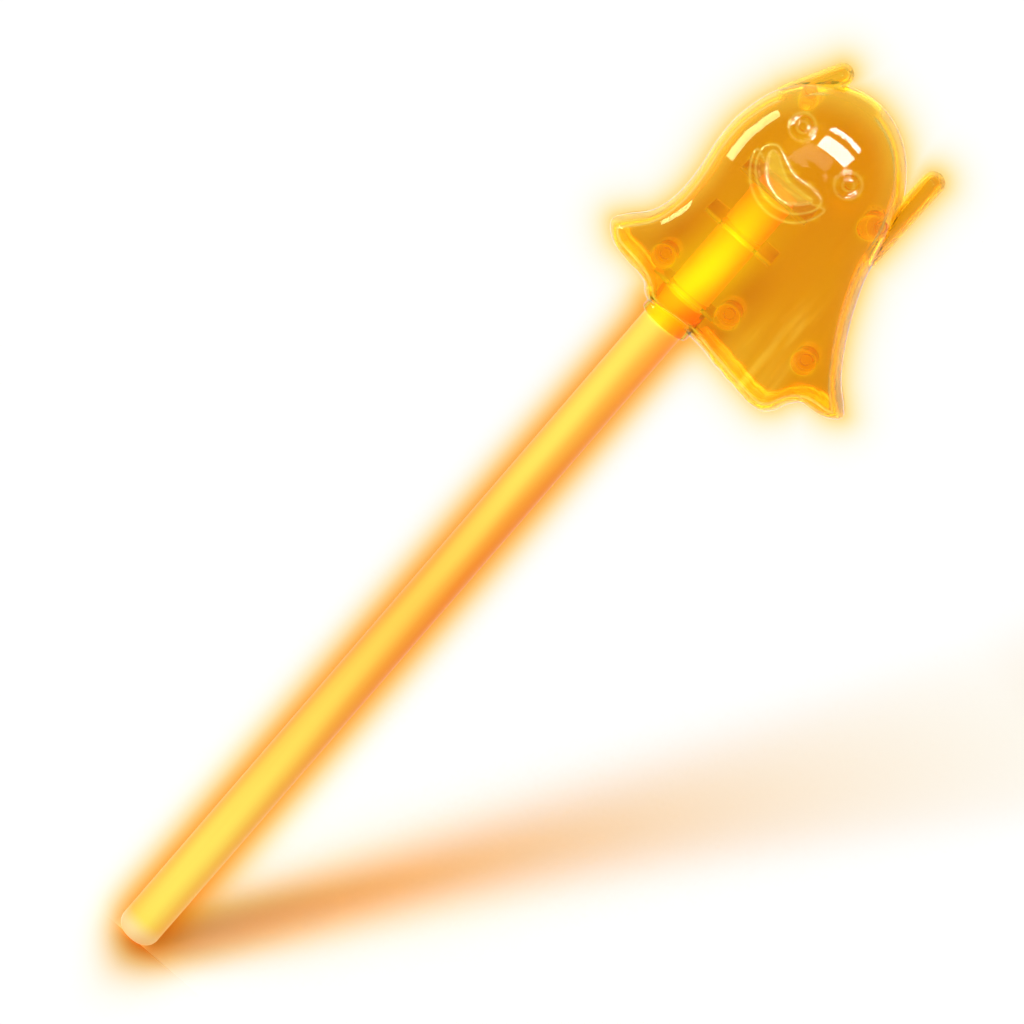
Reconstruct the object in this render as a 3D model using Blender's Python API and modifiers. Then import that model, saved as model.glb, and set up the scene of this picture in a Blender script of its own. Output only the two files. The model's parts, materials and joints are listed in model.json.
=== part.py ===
"""A light-up wand: a chemical light stick with a hollow two-part ghost pushed over its top.

Sizes are in millimetres and turn into metres in the mesh helpers. +Z runs along the stick towards the
ghost, and the ghost faces -Y. The world origin is on the stick's axis, in the middle of the hand's grip.
"""

import math

import bmesh
import bpy
from mathutils import Vector

MM = 0.001

# The hand's place on the stick, measured from the tail's end
GRIP_HEIGHT = 60.0

# Light stick: a moulded tube with a slight draft, closed by a plug
VISIBLE_LENGTH = 276.0
INSERTION = 58.5
TAIL_RADIUS = 7.35
TOP_RADIUS = 7.6
TUBE_WALL = 1.3
TAIL_CORNER = 5.0
PLUG_FLANGE = 1.8
PLUG_DEPTH = 8.0
PLUG_DISH_RADIUS = 4.2
PLUG_DISH_DEPTH = 1.0
PLUG_CHAMFER = 0.5

# Glass ampoule, loose in the tube, and the two liquids
AMPOULE_RADIUS = 4.2
AMPOULE_WALL = 0.6
AMPOULE_TRAVEL = 12.0
AMPOULE_SHOULDER = 14.0
AMPOULE_TIP_LENGTH = 3.0
AMPOULE_TIP_RADIUS = 1.1
AMPOULE_TIP_BORE = 0.4
DYE_START = 7.0
DYE_HEADROOM = 8.0
ACTIVATOR_HEADROOM = 20.0

# Clearances
SEAT_GAP = 0.3
STICK_FIT = 0.3
PIN_FIT = 0.25

# Ghost shells
SHELL_WALL = 2.0
COLLAR_WALL = 1.3
COLLAR_HEIGHT = 11.0
SKIRT_SPARE = 2.0
HEAD_DEPTH_FRONT = 24.0
HEAD_DEPTH_BACK = 21.0
HEM_FLARE = 1.5
FLARE_HEIGHT = 40.0
EDGE_POWER = 2.1
RISE_START = 8.0
RISE_END = 66.0

# How far the skin rounds over from the outline, by height: a crisp hem, fuller sides and a round head
HEM_EDGE = 6.0
SKIRT_EDGE = 14.0
HEAD_EDGE = 29.0
HEM_EDGE_TOP = 8.0
SKIRT_EDGE_START = 32.0

# Ghost's outline at the parting plane: x from the stick's axis, z from the collar's lower edge
HEM_LEFT = [(-8.5, 3.6), (-14.5, 7.6), (-21.0, 9.4), (-29.5, 10.6), (-34.0, 13.4), (-35.4, 16.3)]
SIDE_LEFT = [(-33.0, 20.0), (-27.2, 27.2), (-24.7, 36.5), (-24.9, 47.5), (-26.5, 59.0), (-26.2, 71.5)]
HEAD_TOP = [(-21.3, 86.0), (-10.0, 98.2), (5.0, 103.1), (19.5, 99.2), (30.5, 88.8), (36.3, 76.0)]
SIDE_RIGHT = [(39.4, 62.5), (42.0, 52.8), (48.3, 38.5), (56.3, 25.8), (63.2, 18.9), (65.2, 16.0)]
HEM_RIGHT = [(61.5, 13.2), (53.3, 12.0), (49.0, 8.2), (46.0, 2.6), (40.5, 0.0), (24.0, 1.8), (8.5, 3.6)]
OUTLINE = HEM_LEFT + SIDE_LEFT + HEAD_TOP + SIDE_RIGHT + HEM_RIGHT
BODY_SPINE = ((12.0, 20.0), (5.0, 74.0))

# Raised arms: root and tip centres, with the radius at each
RIGHT_ARM = ((36.2, 62.0), (37.1, 94.7))
RIGHT_ARM_RADII = (4.2, 4.0)
LEFT_ARM = ((-18.0, 84.2), (-9.1, 102.3))
LEFT_ARM_RADII = (4.4, 3.9)
ARM_DEPTH = 5.0
ARM_POWER = 1.4

# Posts that hold the halves together: x, z and radius
POSTS = [(-12.0, 90.0, 3.3), (31.0, 71.6, 4.4), (-14.6, 19.0, 4.2), (14.6, 17.6, 4.4), (43.5, 22.8, 4.2)]
PIN_RADIUS = 1.8
PIN_LENGTH = 4.0

# Cradle ribs round the stick, and the stop rib over its end
RIB_HEIGHTS = (13.6, 41.0)
RIB_HALF_WIDTH = 14.0
RIB_THICKNESS = 1.6

# Face: eyes and an open smile, as steps in the front shell's skin
LEFT_EYE = (-7.4, 84.8)
RIGHT_EYE = (16.6, 80.3)
EYE_RADIUS = 4.3
EYE_RIM = 1.1
EYE_RAISE = 0.55
EYE_RECESS = 0.3
PUPIL_RADIUS = 1.9
PUPIL_OFFSET = (0.4, 0.9)
PUPIL_RAISE = 0.9
SMILE = [(-13.9, 69.4), (-12.2, 64.0), (-6.5, 58.4), (1.5, 56.0), (9.5, 58.0), (14.6, 63.6), (15.9, 69.2)]
SMILE_TOP = [(10.0, 67.5), (1.5, 66.0), (-8.0, 68.0)]
LIP = [(-9.6, 74.9), (-12.7, 71.2), (-10.8, 65.2), (-5.0, 60.6), (1.6, 59.2), (8.2, 60.9), (12.6, 65.3)]
LIP_TOP = [(13.9, 69.0), (12.2, 71.4), (7.0, 72.0), (1.5, 71.4), (-4.4, 73.4)]
MOUTH = [(-10.0, 72.2), (-8.6, 68.6), (-5.2, 64.6), (0.4, 62.2), (4.6, 62.4), (8.6, 65.2), (10.9, 68.8)]
MOUTH_TOP = [(5.0, 68.8), (1.0, 68.6), (-3.2, 70.4), (-7.4, 72.8)]
SMILE_RAISE = 0.35
LIP_RAISE = 0.8
MOUTH_RECESS = 0.7

# Mesh detail
TURN_STEPS = 32
POST_SIDES = 16
ARM_STEPS = 6
FACE_STEPS = 2
SKIN_STEPS = 3
SKIN_RINGS = 9
HOLLOW_STEPS = 2
HOLLOW_RINGS = 6
LAST_RING = 0.94
BEYOND = 2.0
REACH = 200.0
AXIS_MERGE = 0.00001

# Sizes worked out from those above
STICK_LENGTH = VISIBLE_LENGTH + INSERTION
TUBE_LENGTH = STICK_LENGTH - PLUG_FLANGE - SEAT_GAP
FLOOR = TUBE_WALL
AMPOULE_START = FLOOR + SEAT_GAP
PLUG_END = TUBE_LENGTH - PLUG_DEPTH
AMPOULE_END = PLUG_END - AMPOULE_TRAVEL - SEAT_GAP
STICK_BORE = TOP_RADIUS + STICK_FIT
COLLAR_RADIUS = STICK_BORE + COLLAR_WALL
SKIRT_DEPTH = STICK_BORE + SHELL_WALL + SKIRT_SPARE
STOP_RIB_HEIGHT = INSERTION + SEAT_GAP + RIB_THICKNESS / 2


def smooth_step(value):
    """0 below 0, 1 above 1, and an even swell between them."""
    value = min(max(value, 0.0), 1.0)
    return value * value * (3.0 - 2.0 * value)


def arc(centre, radius, start, end, steps):
    """Points of a circular arc in a profile, with its angles in degrees."""
    points = []
    for step in range(steps + 1):
        angle = math.radians(start + (end - start) * step / steps)
        points.append((centre[0] + radius * math.cos(angle), centre[1] + radius * math.sin(angle)))
    return points


def closed_curve(points, steps):
    """A smooth closed curve through the points, as steps points for each of them."""
    knots = [Vector(point) for point in points]
    count = len(knots)
    curve = []
    for index in range(count):
        before, start, end, after = (knots[(index + shift) % count] for shift in (-1, 0, 1, 2))
        for step in range(steps):
            t = step / steps
            bend = 2.0 * before - 5.0 * start + 4.0 * end - after
            swing = 3.0 * start - before - 3.0 * end + after
            curve.append(0.5 * (2.0 * start + (end - before) * t + bend * t**2 + swing * t**3))
    return curve


# Scene, collections and materials


def clear_scene():
    for old in list(bpy.data.objects):
        bpy.data.objects.remove(old, do_unlink=True)


def new_collection(name):
    collection = bpy.data.collections.new(name)
    bpy.context.scene.collection.children.link(collection)
    return collection


def principled(name, color, roughness, transmission, glow=0.0):
    material = bpy.data.materials.new(name)
    material.use_nodes = True
    shader = material.node_tree.nodes["Principled BSDF"]
    shader.inputs["Base Color"].default_value = (*color, 1.0)
    shader.inputs["Roughness"].default_value = roughness
    shader.inputs["Metallic"].default_value = 0.0
    shader.inputs["Transmission Weight"].default_value = transmission
    shader.inputs["Emission Color"].default_value = (*color, 1.0)
    shader.inputs["Emission Strength"].default_value = glow
    material.diffuse_color = (*color, 1.0)
    return material


def add_empty(name, height, collection, parent=None):
    """An empty on the stick's axis, which carries the pieces that move together."""
    empty = bpy.data.objects.new(name, None)
    empty.empty_display_size = 0.01
    empty.location = (0.0, 0.0, height * MM)
    empty.parent = parent
    collection.objects.link(empty)
    return empty


def add_object(name, bm, collection, parent, material=None):
    """An object from a bmesh in millimetres."""
    bmesh.ops.scale(bm, vec=(MM, MM, MM), verts=bm.verts)
    mesh = bpy.data.meshes.new(name)
    bm.to_mesh(mesh)
    bm.free()
    obj = bpy.data.objects.new(name, mesh)
    obj.parent = parent
    if material:
        mesh.materials.append(material)
    else:
        obj.hide_render = True
        obj.display_type = "WIRE"
    collection.objects.link(obj)
    return obj


def boolean(obj, other, operation):
    modifier = obj.modifiers.new(f"{operation.lower()} {other.name}", "BOOLEAN")
    modifier.operation = operation
    modifier.object = other
    modifier.solver = "EXACT"


# Turned pieces of the stick


def turned(name, profile, collection, parent, material):
    """A profile of (radius, height) points turned about the stick's axis."""
    bm = bmesh.new()
    points = [bm.verts.new((radius, 0.0, height)) for radius, height in profile]
    for first, second in zip(points, points[1:]):
        bm.edges.new((first, second))
    obj = add_object(name, bm, collection, parent, material)
    screw = obj.modifiers.new("turn", "SCREW")
    screw.steps = TURN_STEPS
    screw.render_steps = TURN_STEPS
    screw.use_merge_vertices = True
    screw.merge_threshold = AXIS_MERGE
    screw.use_smooth_shade = True
    return obj


def stick_radius(height):
    """The tube's outer radius, which grows a little from the tail to the top."""
    return TAIL_RADIUS + (TOP_RADIUS - TAIL_RADIUS) * height / TUBE_LENGTH


def make_stick_tube(collection, parent, material):
    """The closed tube: up the inside from its floor, over the rim and down the outside."""
    inner_corner = TAIL_CORNER - TUBE_WALL
    inner_tail = stick_radius(TAIL_CORNER) - TUBE_WALL
    outer_tail = stick_radius(TAIL_CORNER)
    profile = [(0.0, FLOOR)]
    profile += arc((inner_tail - inner_corner, FLOOR + inner_corner), inner_corner, -90, 0, 5)
    profile += [(TOP_RADIUS - TUBE_WALL, TUBE_LENGTH), (TOP_RADIUS, TUBE_LENGTH)]
    profile += arc((outer_tail - TAIL_CORNER, TAIL_CORNER), TAIL_CORNER, 0, -90, 7)
    profile += [(0.0, 0.0)]
    return turned("stick_tube", profile, collection, parent, material)


def make_stick_plug(collection, parent, material):
    """The dished plug that seals the tube's top."""
    body = TOP_RADIUS - TUBE_WALL - SEAT_GAP
    flange_base = STICK_LENGTH - PLUG_FLANGE
    dish = STICK_LENGTH - PLUG_DISH_DEPTH
    profile = [(0.0, dish), (PLUG_DISH_RADIUS - PLUG_DISH_DEPTH, dish), (PLUG_DISH_RADIUS, STICK_LENGTH)]
    profile += [(TOP_RADIUS - PLUG_CHAMFER, STICK_LENGTH), (TOP_RADIUS, STICK_LENGTH - PLUG_CHAMFER)]
    profile += [(TOP_RADIUS, flange_base), (body, flange_base), (body, PLUG_END), (0.0, PLUG_END)]
    return turned("stick_plug", profile, collection, parent, material)


def make_dye_liquid(collection, parent, material):
    """The ring of dye solution between the ampoule and the tube."""
    inner = AMPOULE_RADIUS + SEAT_GAP
    top = PLUG_END - DYE_HEADROOM
    low = (stick_radius(DYE_START) - TUBE_WALL - SEAT_GAP, DYE_START)
    high = (stick_radius(top) - TUBE_WALL - SEAT_GAP, top)
    profile = [(inner, top), high, low, (inner, DYE_START), (inner, top)]
    return turned("dye_liquid", profile, collection, parent, material)


def make_glass_ampoule(collection, parent, material):
    """The drawn glass vial: a round foot, a long wall and a cone up to its fine tip."""
    shoulder = AMPOULE_END - AMPOULE_SHOULDER
    tip = AMPOULE_END - AMPOULE_TIP_LENGTH
    foot = (0.0, AMPOULE_START + AMPOULE_RADIUS)
    bore = AMPOULE_RADIUS - AMPOULE_WALL
    profile = arc(foot, bore, -90, 0, 6)
    profile += [(bore, shoulder), (AMPOULE_TIP_BORE, tip), (AMPOULE_TIP_BORE, AMPOULE_END)]
    profile += [(AMPOULE_TIP_RADIUS, AMPOULE_END), (AMPOULE_TIP_RADIUS, tip)]
    profile += [(AMPOULE_RADIUS, shoulder)] + arc(foot, AMPOULE_RADIUS, 0, -90, 6)
    profile[0] = (0.0, profile[0][1])
    profile[-1] = (0.0, profile[-1][1])
    return turned("glass_ampoule", profile, collection, parent, material)


def make_activator_liquid(collection, parent, material):
    """The activator that the ampoule keeps apart from the dye."""
    radius = AMPOULE_RADIUS - AMPOULE_WALL - SEAT_GAP
    top = AMPOULE_END - ACTIVATOR_HEADROOM
    profile = [(0.0, top), (radius, top)]
    profile += arc((0.0, AMPOULE_START + AMPOULE_RADIUS), radius, 0, -90, 6)
    profile[-1] = (0.0, profile[-1][1])
    return turned("activator_liquid", profile, collection, parent, material)


# Ghost's forms


def body_depth(head_depth):
    """The half's depth as a function of height: flared at the hem, shallow over it and deep at the head."""

    def depth(height):
        rise = smooth_step((height - RISE_START) / (RISE_END - RISE_START))
        flare = 1.0 - smooth_step(height / FLARE_HEIGHT)
        return SKIRT_DEPTH + (head_depth - SKIRT_DEPTH) * rise + HEM_FLARE * flare

    return depth


def body_edge(height):
    """How far in from the outline the skin goes on rounding over."""
    side = smooth_step((height - HEM_EDGE_TOP) / (SKIRT_EDGE_START - HEM_EDGE_TOP))
    head = smooth_step((height - SKIRT_EDGE_START) / (RISE_END - SKIRT_EDGE_START))
    return HEM_EDGE + (SKIRT_EDGE - HEM_EDGE) * side + (HEAD_EDGE - SKIRT_EDGE) * head


def body_form(head_depth, steps, rings):
    return {
        "outline": closed_curve(OUTLINE, steps),
        "rings": rings,
        "spine": [Vector(point) for point in BODY_SPINE],
        "depth": body_depth(head_depth),
        "edge": body_edge,
        "power": EDGE_POWER,
    }


def arm_form(line, radii, rings):
    """A tapered arm with a soft ridge along its middle."""
    root, tip = (Vector(point) for point in line)
    bearing = math.degrees(math.atan2(tip.y - root.y, tip.x - root.x))
    points = arc(tip, radii[1], bearing - 90, bearing + 90, ARM_STEPS)
    points += arc(root, radii[0], bearing + 90, bearing + 270, ARM_STEPS)
    return {
        "outline": [Vector(point) for point in points],
        "rings": rings,
        "spine": [root, tip],
        "depth": lambda height: ARM_DEPTH,
        "edge": lambda height: REACH,
        "power": ARM_POWER,
    }


def ghost_forms(head_depth, steps, rings):
    """The body and the two arms of one half."""
    return {
        "body": body_form(head_depth, steps, rings),
        "right_arm": arm_form(RIGHT_ARM, RIGHT_ARM_RADII, rings // 2 + 1),
        "left_arm": arm_form(LEFT_ARM, LEFT_ARM_RADII, rings // 2 + 1),
    }


def spine_point(point, spine):
    """The nearest point of the spine, which the skin closes over."""
    run = spine[1] - spine[0]
    along = (point - spine[0]).dot(run) / run.length_squared
    return spine[0].lerp(spine[1], min(max(along, 0.0), 1.0))


def half_blank(name, form, side, inset, beyond, collection, parent):
    """A closed half of a form: rings from its outline in over the spine, and a flat back past the plane."""
    bm = bmesh.new()
    rings = []
    for ring in range(-1, form["rings"] + 1):
        share = 0.0 if ring < 0 else LAST_RING * (1.0 - math.cos(math.pi / 2 * ring / form["rings"]))
        corners = []
        for point in form["outline"]:
            inward = spine_point(point, form["spine"]) - point
            reach = inward.length - inset
            place = point + inward.normalized() * (inset + reach * share)
            edge = min(form["edge"](point.y) - inset, reach)
            rest = 1.0 - min(reach * share / edge, 1.0)
            rise = (1.0 - rest ** form["power"]) ** (1.0 / form["power"])
            depth = -beyond if ring < 0 else (form["depth"](place.y) - inset) * rise
            corners.append(bm.verts.new((place.x, side * depth, place.y)))
        rings.append(corners)
    for low, high in zip(rings, rings[1:]):
        for index in range(len(low)):
            after = (index + 1) % len(low)
            bm.faces.new((low[index], low[after], high[after], high[index]))
    bm.faces.new(rings[0])
    bm.faces.new(rings[-1])
    bm.normal_update()
    bmesh.ops.triangulate(bm, faces=bm.faces)
    bmesh.ops.recalc_face_normals(bm, faces=bm.faces)
    return add_object(name, bm, collection, parent)


def prism(name, outline, near, far, collection, parent):
    """A flat outline in x and z, drawn out along Y from near to far."""
    bm = bmesh.new()
    face = bm.faces.new([bm.verts.new((x, near, z)) for x, z in outline])
    grown = bmesh.ops.extrude_face_region(bm, geom=[face])
    moved = [item for item in grown["geom"] if isinstance(item, bmesh.types.BMVert)]
    bmesh.ops.translate(bm, verts=moved, vec=(0.0, far - near, 0.0))
    bmesh.ops.recalc_face_normals(bm, faces=bm.faces)
    return add_object(name, bm, collection, parent)


def disc(centre, radius, sides):
    """A circle's points in x and z."""
    return arc(centre, radius, 0, 360 - 360 / sides, sides - 1)


def rectangle(x_ends, z_ends):
    """A rectangle's corners in x and z."""
    left, right = x_ends
    low, high = z_ends
    return [(left, low), (right, low), (right, high), (left, high)]


def stick_passage(name, radius, low, high, collection, parent):
    """A cylinder on the stick's axis."""
    bm = bmesh.new()
    bmesh.ops.create_cone(
        bm, cap_ends=True, segments=TURN_STEPS, radius1=radius, radius2=radius, depth=high - low
    )
    bmesh.ops.translate(bm, verts=bm.verts, vec=(0.0, 0.0, (low + high) / 2))
    return add_object(name, bm, collection, parent)


def make_cavity(name, head_depth, side, collection, parent):
    """The hollow inside one half, less the posts, ribs and collar that stand in it."""
    forms = ghost_forms(head_depth, HOLLOW_STEPS, HOLLOW_RINGS)
    cavity = half_blank(name, forms["body"], side, SHELL_WALL, 2.0 * BEYOND, collection, parent)
    for label in ("right_arm", "left_arm"):
        label_name = f"{name}_{label}"
        hollow = half_blank(label_name, forms[label], side, SHELL_WALL, 2.5 * BEYOND, collection, parent)
        boolean(cavity, hollow, "UNION")
    for index, (x, z, radius) in enumerate(POSTS):
        outline = disc((x, z), radius, POST_SIDES)
        post = prism(f"{name}_post_{index}", outline, 0.0, side * REACH, collection, parent)
        boolean(cavity, post, "DIFFERENCE")
    for index, height in enumerate((*RIB_HEIGHTS, STOP_RIB_HEIGHT)):
        ends = (height - RIB_THICKNESS / 2, height + RIB_THICKNESS / 2)
        web = rectangle((-RIB_HALF_WIDTH, RIB_HALF_WIDTH), ends)
        rib = prism(f"{name}_rib_{index}", web, 0.0, side * REACH, collection, parent)
        boolean(cavity, rib, "DIFFERENCE")
    sleeve = stick_passage(f"{name}_sleeve", COLLAR_RADIUS, -BEYOND, COLLAR_HEIGHT, collection, parent)
    boolean(cavity, sleeve, "DIFFERENCE")
    return cavity


def make_shell(name, head_depth, side, collection, cutters, parent, material):
    """One half of the ghost, without its face or its pins: skin and collar, less the hollow and the stick."""
    forms = ghost_forms(head_depth, SKIN_STEPS, SKIN_RINGS)
    shell = half_blank(name, forms["body"], side, 0.0, BEYOND, collection, parent)
    shell.hide_render = False
    shell.display_type = "TEXTURED"
    shell.data.materials.append(material)
    for label in ("right_arm", "left_arm"):
        solid = half_blank(f"{name}_{label}", forms[label], side, 0.0, 1.5 * BEYOND, cutters, parent)
        boolean(shell, solid, "UNION")
    collar = stick_passage(f"{name}_collar", COLLAR_RADIUS, 0.0, COLLAR_HEIGHT, cutters, parent)
    boolean(shell, collar, "UNION")
    return shell


def hollow_out(shell, head_depth, side, cutters, parent):
    """Takes out the hollow, the stick's passage and all that lies past the parting plane."""
    cavity = make_cavity(f"{shell.name}_hollow", head_depth, side, cutters, parent)
    boolean(shell, cavity, "DIFFERENCE")
    top = INSERTION + SEAT_GAP
    passage = stick_passage(f"{shell.name}_passage", STICK_BORE, -BEYOND, top, cutters, parent)
    boolean(shell, passage, "DIFFERENCE")
    plane = side * SEAT_GAP / 2
    block = rectangle((-REACH, REACH), (-REACH, REACH))
    beyond = prism(f"{shell.name}_past_plane", block, plane, plane - side * REACH, cutters, parent)
    boolean(shell, beyond, "DIFFERENCE")


def raised_patch(shell, label, outline, raise_by, form, cutters, parent):
    """Lifts the skin inside an outline by an even step."""
    patch = prism(f"face_{label}", outline, 0.0, -REACH, cutters, parent)
    lifted = half_blank(f"face_{label}_skin", form, -1, -raise_by, BEYOND, cutters, parent)
    boolean(patch, lifted, "INTERSECT")
    boolean(shell, patch, "UNION")


def sunk_patch(shell, label, outline, sink_by, form, cutters, parent):
    """Sinks the skin inside an outline by an even step."""
    patch = prism(f"face_{label}", outline, 0.0, -REACH, cutters, parent)
    floor = half_blank(f"face_{label}_floor", form, -1, sink_by, BEYOND, cutters, parent)
    boolean(patch, floor, "DIFFERENCE")
    boolean(shell, patch, "DIFFERENCE")


def add_face(shell, cutters, parent):
    """Eyes and an open smile, each a step up or down from the skin round it."""
    form = body_form(HEAD_DEPTH_FRONT, SKIN_STEPS, SKIN_RINGS)
    smile = closed_curve(SMILE + SMILE_TOP, FACE_STEPS)
    raised_patch(shell, "smile", smile, SMILE_RAISE, form, cutters, parent)
    lip = closed_curve(LIP + LIP_TOP, FACE_STEPS)
    raised_patch(shell, "lip", lip, LIP_RAISE, form, cutters, parent)
    mouth = closed_curve(MOUTH + MOUTH_TOP, FACE_STEPS)
    sunk_patch(shell, "mouth", mouth, MOUTH_RECESS, form, cutters, parent)
    for label, eye in (("left", LEFT_EYE), ("right", RIGHT_EYE)):
        rim = disc(eye, EYE_RADIUS, POST_SIDES)
        raised_patch(shell, f"{label}_eye", rim, EYE_RAISE, form, cutters, parent)
        hollow = disc(eye, EYE_RADIUS - EYE_RIM, POST_SIDES)
        sunk_patch(shell, f"{label}_eye_hollow", hollow, EYE_RECESS, form, cutters, parent)
        middle = Vector(eye) + Vector(PUPIL_OFFSET)
        pupil = disc(middle, PUPIL_RADIUS, POST_SIDES // 2)
        raised_patch(shell, f"{label}_pupil", pupil, PUPIL_RAISE, form, cutters, parent)


def make_ghost_front(collection, cutters, parent, material):
    """The front half: face, hollow and the pins that stand past the parting plane."""
    shell = make_shell("ghost_front", HEAD_DEPTH_FRONT, -1, collection, cutters, parent, material)
    add_face(shell, cutters, parent)
    hollow_out(shell, HEAD_DEPTH_FRONT, -1, cutters, parent)
    for index, (x, z, _) in enumerate(POSTS):
        outline = disc((x, z), PIN_RADIUS, POST_SIDES // 2)
        pin = prism(f"pin_{index}", outline, -BEYOND, PIN_LENGTH, cutters, parent)
        boolean(shell, pin, "UNION")
    return shell


def make_ghost_back(collection, cutters, parent, material):
    """The back half: hollow, and a socket in each post for the front's pins."""
    shell = make_shell("ghost_back", HEAD_DEPTH_BACK, 1, collection, cutters, parent, material)
    hollow_out(shell, HEAD_DEPTH_BACK, 1, cutters, parent)
    for index, (x, z, _) in enumerate(POSTS):
        bore = disc((x, z), PIN_RADIUS + PIN_FIT, POST_SIDES // 2)
        socket = prism(f"socket_{index}", bore, -BEYOND, PIN_LENGTH + SEAT_GAP, cutters, parent)
        boolean(shell, socket, "DIFFERENCE")
    return shell


def main():
    clear_scene()
    wand = new_collection("light_up_wand")
    cutters = new_collection("cutters")
    amber = principled("ghost_amber", (0.82, 0.36, 0.01), 0.08, 0.6)
    amber_back = principled("ghost_amber_back", (0.80, 0.34, 0.01), 0.1, 0.6)
    tube = principled("stick_plastic", (1.0, 0.62, 0.12), 0.25, 0.3, 0.6)
    plug = principled("plug_plastic", (1.0, 0.68, 0.2), 0.35, 0.2, 0.3)
    glass = principled("ampoule_glass", (1.0, 0.97, 0.9), 0.02, 1.0)
    dye = principled("dye", (1.0, 0.72, 0.1), 0.1, 0.5, 1.0)
    activator = principled("activator", (1.0, 0.86, 0.3), 0.1, 0.6, 0.6)
    stick = add_empty("stick_tail", -GRIP_HEIGHT, wand)
    ampoule = add_empty("ampoule_slide", 0.0, wand, stick)
    topper = add_empty("topper_slide", VISIBLE_LENGTH, wand, stick)
    make_stick_tube(wand, stick, tube)
    make_stick_plug(wand, stick, plug)
    make_dye_liquid(wand, stick, dye)
    make_glass_ampoule(wand, ampoule, glass)
    make_activator_liquid(wand, ampoule, activator)
    make_ghost_front(wand, cutters, topper, amber)
    make_ghost_back(wand, cutters, topper, amber_back)


main()
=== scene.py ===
"""Looks of the light-up wand: a glowing chemical light stick with a clear amber ghost pushed over its top.

The sizes here are in millimetres, turned into metres where a mesh is made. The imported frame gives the
stick's ends and radii. +Z runs along the stick towards the ghost, and the ghost faces -Y.
"""

import json
import math

import bmesh
import bpy
import numpy as np
from mathutils import Matrix, Vector

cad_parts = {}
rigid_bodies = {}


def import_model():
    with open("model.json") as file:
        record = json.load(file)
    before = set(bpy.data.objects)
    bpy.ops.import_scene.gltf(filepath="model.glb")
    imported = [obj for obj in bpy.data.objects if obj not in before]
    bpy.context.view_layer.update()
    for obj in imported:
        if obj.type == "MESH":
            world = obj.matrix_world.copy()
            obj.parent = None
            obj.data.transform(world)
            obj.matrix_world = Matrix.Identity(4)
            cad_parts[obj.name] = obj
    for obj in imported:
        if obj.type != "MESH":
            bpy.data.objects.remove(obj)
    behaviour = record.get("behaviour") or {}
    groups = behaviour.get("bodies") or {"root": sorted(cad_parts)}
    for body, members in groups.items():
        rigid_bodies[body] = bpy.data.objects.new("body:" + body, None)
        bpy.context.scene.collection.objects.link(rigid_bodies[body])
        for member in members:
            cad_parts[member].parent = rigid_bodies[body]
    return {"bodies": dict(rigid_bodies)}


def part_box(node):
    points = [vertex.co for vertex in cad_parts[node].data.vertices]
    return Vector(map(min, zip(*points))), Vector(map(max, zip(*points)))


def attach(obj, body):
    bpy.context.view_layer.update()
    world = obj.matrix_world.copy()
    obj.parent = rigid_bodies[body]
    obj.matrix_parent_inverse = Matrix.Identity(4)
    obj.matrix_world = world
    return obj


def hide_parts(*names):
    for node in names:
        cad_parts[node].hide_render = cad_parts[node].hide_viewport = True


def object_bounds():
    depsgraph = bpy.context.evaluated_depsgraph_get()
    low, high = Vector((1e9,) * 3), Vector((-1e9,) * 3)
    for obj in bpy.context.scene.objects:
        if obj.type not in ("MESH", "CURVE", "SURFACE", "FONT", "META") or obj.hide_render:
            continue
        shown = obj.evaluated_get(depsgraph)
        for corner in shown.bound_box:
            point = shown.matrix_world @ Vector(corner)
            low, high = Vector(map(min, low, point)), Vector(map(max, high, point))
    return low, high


MM = 0.001
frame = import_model()
cad_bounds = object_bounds()

# Places read from the frame
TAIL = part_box("stick_tube")[0].z / MM
TUBE_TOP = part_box("stick_tube")[1].z / MM
STICK_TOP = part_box("stick_plug")[1].z / MM
TOP_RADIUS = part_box("stick_tube")[1].x / MM
COLLAR_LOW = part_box("ghost_front")[0].z / MM
DYE_LOW, DYE_TOP = (corner.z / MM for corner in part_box("dye_liquid"))
DYE_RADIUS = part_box("dye_liquid")[1].x / MM
AMPOULE_LOW, AMPOULE_TOP = (corner.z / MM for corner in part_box("glass_ampoule"))
AMPOULE_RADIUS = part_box("glass_ampoule")[1].x / MM
ACTIVATOR_LOW, ACTIVATOR_TOP = (corner.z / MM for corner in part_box("activator_liquid"))
ACTIVATOR_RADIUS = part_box("activator_liquid")[1].x / MM
PLUG_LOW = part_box("stick_plug")[0].z / MM

# Stick, as moulded
TAIL_RADIUS = 7.35
TUBE_WALL = 1.3
TAIL_CORNER = 5.0
RIM_ROUND = 0.3
PLUG_FLANGE = 1.8
PLUG_BODY_RADIUS = 6.0
PLUG_DISH_RADIUS = 4.2
PLUG_DISH_DEPTH = 1.0
PLUG_DISH_CORNER = 1.0
PLUG_ROUND = 0.5
AMPOULE_WALL = 0.6
AMPOULE_SHOULDER = 14.0
AMPOULE_TIP_LENGTH = 3.0
AMPOULE_TIP_RADIUS = 1.1
AMPOULE_TIP_BORE = 0.4
MENISCUS = 0.8

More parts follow.
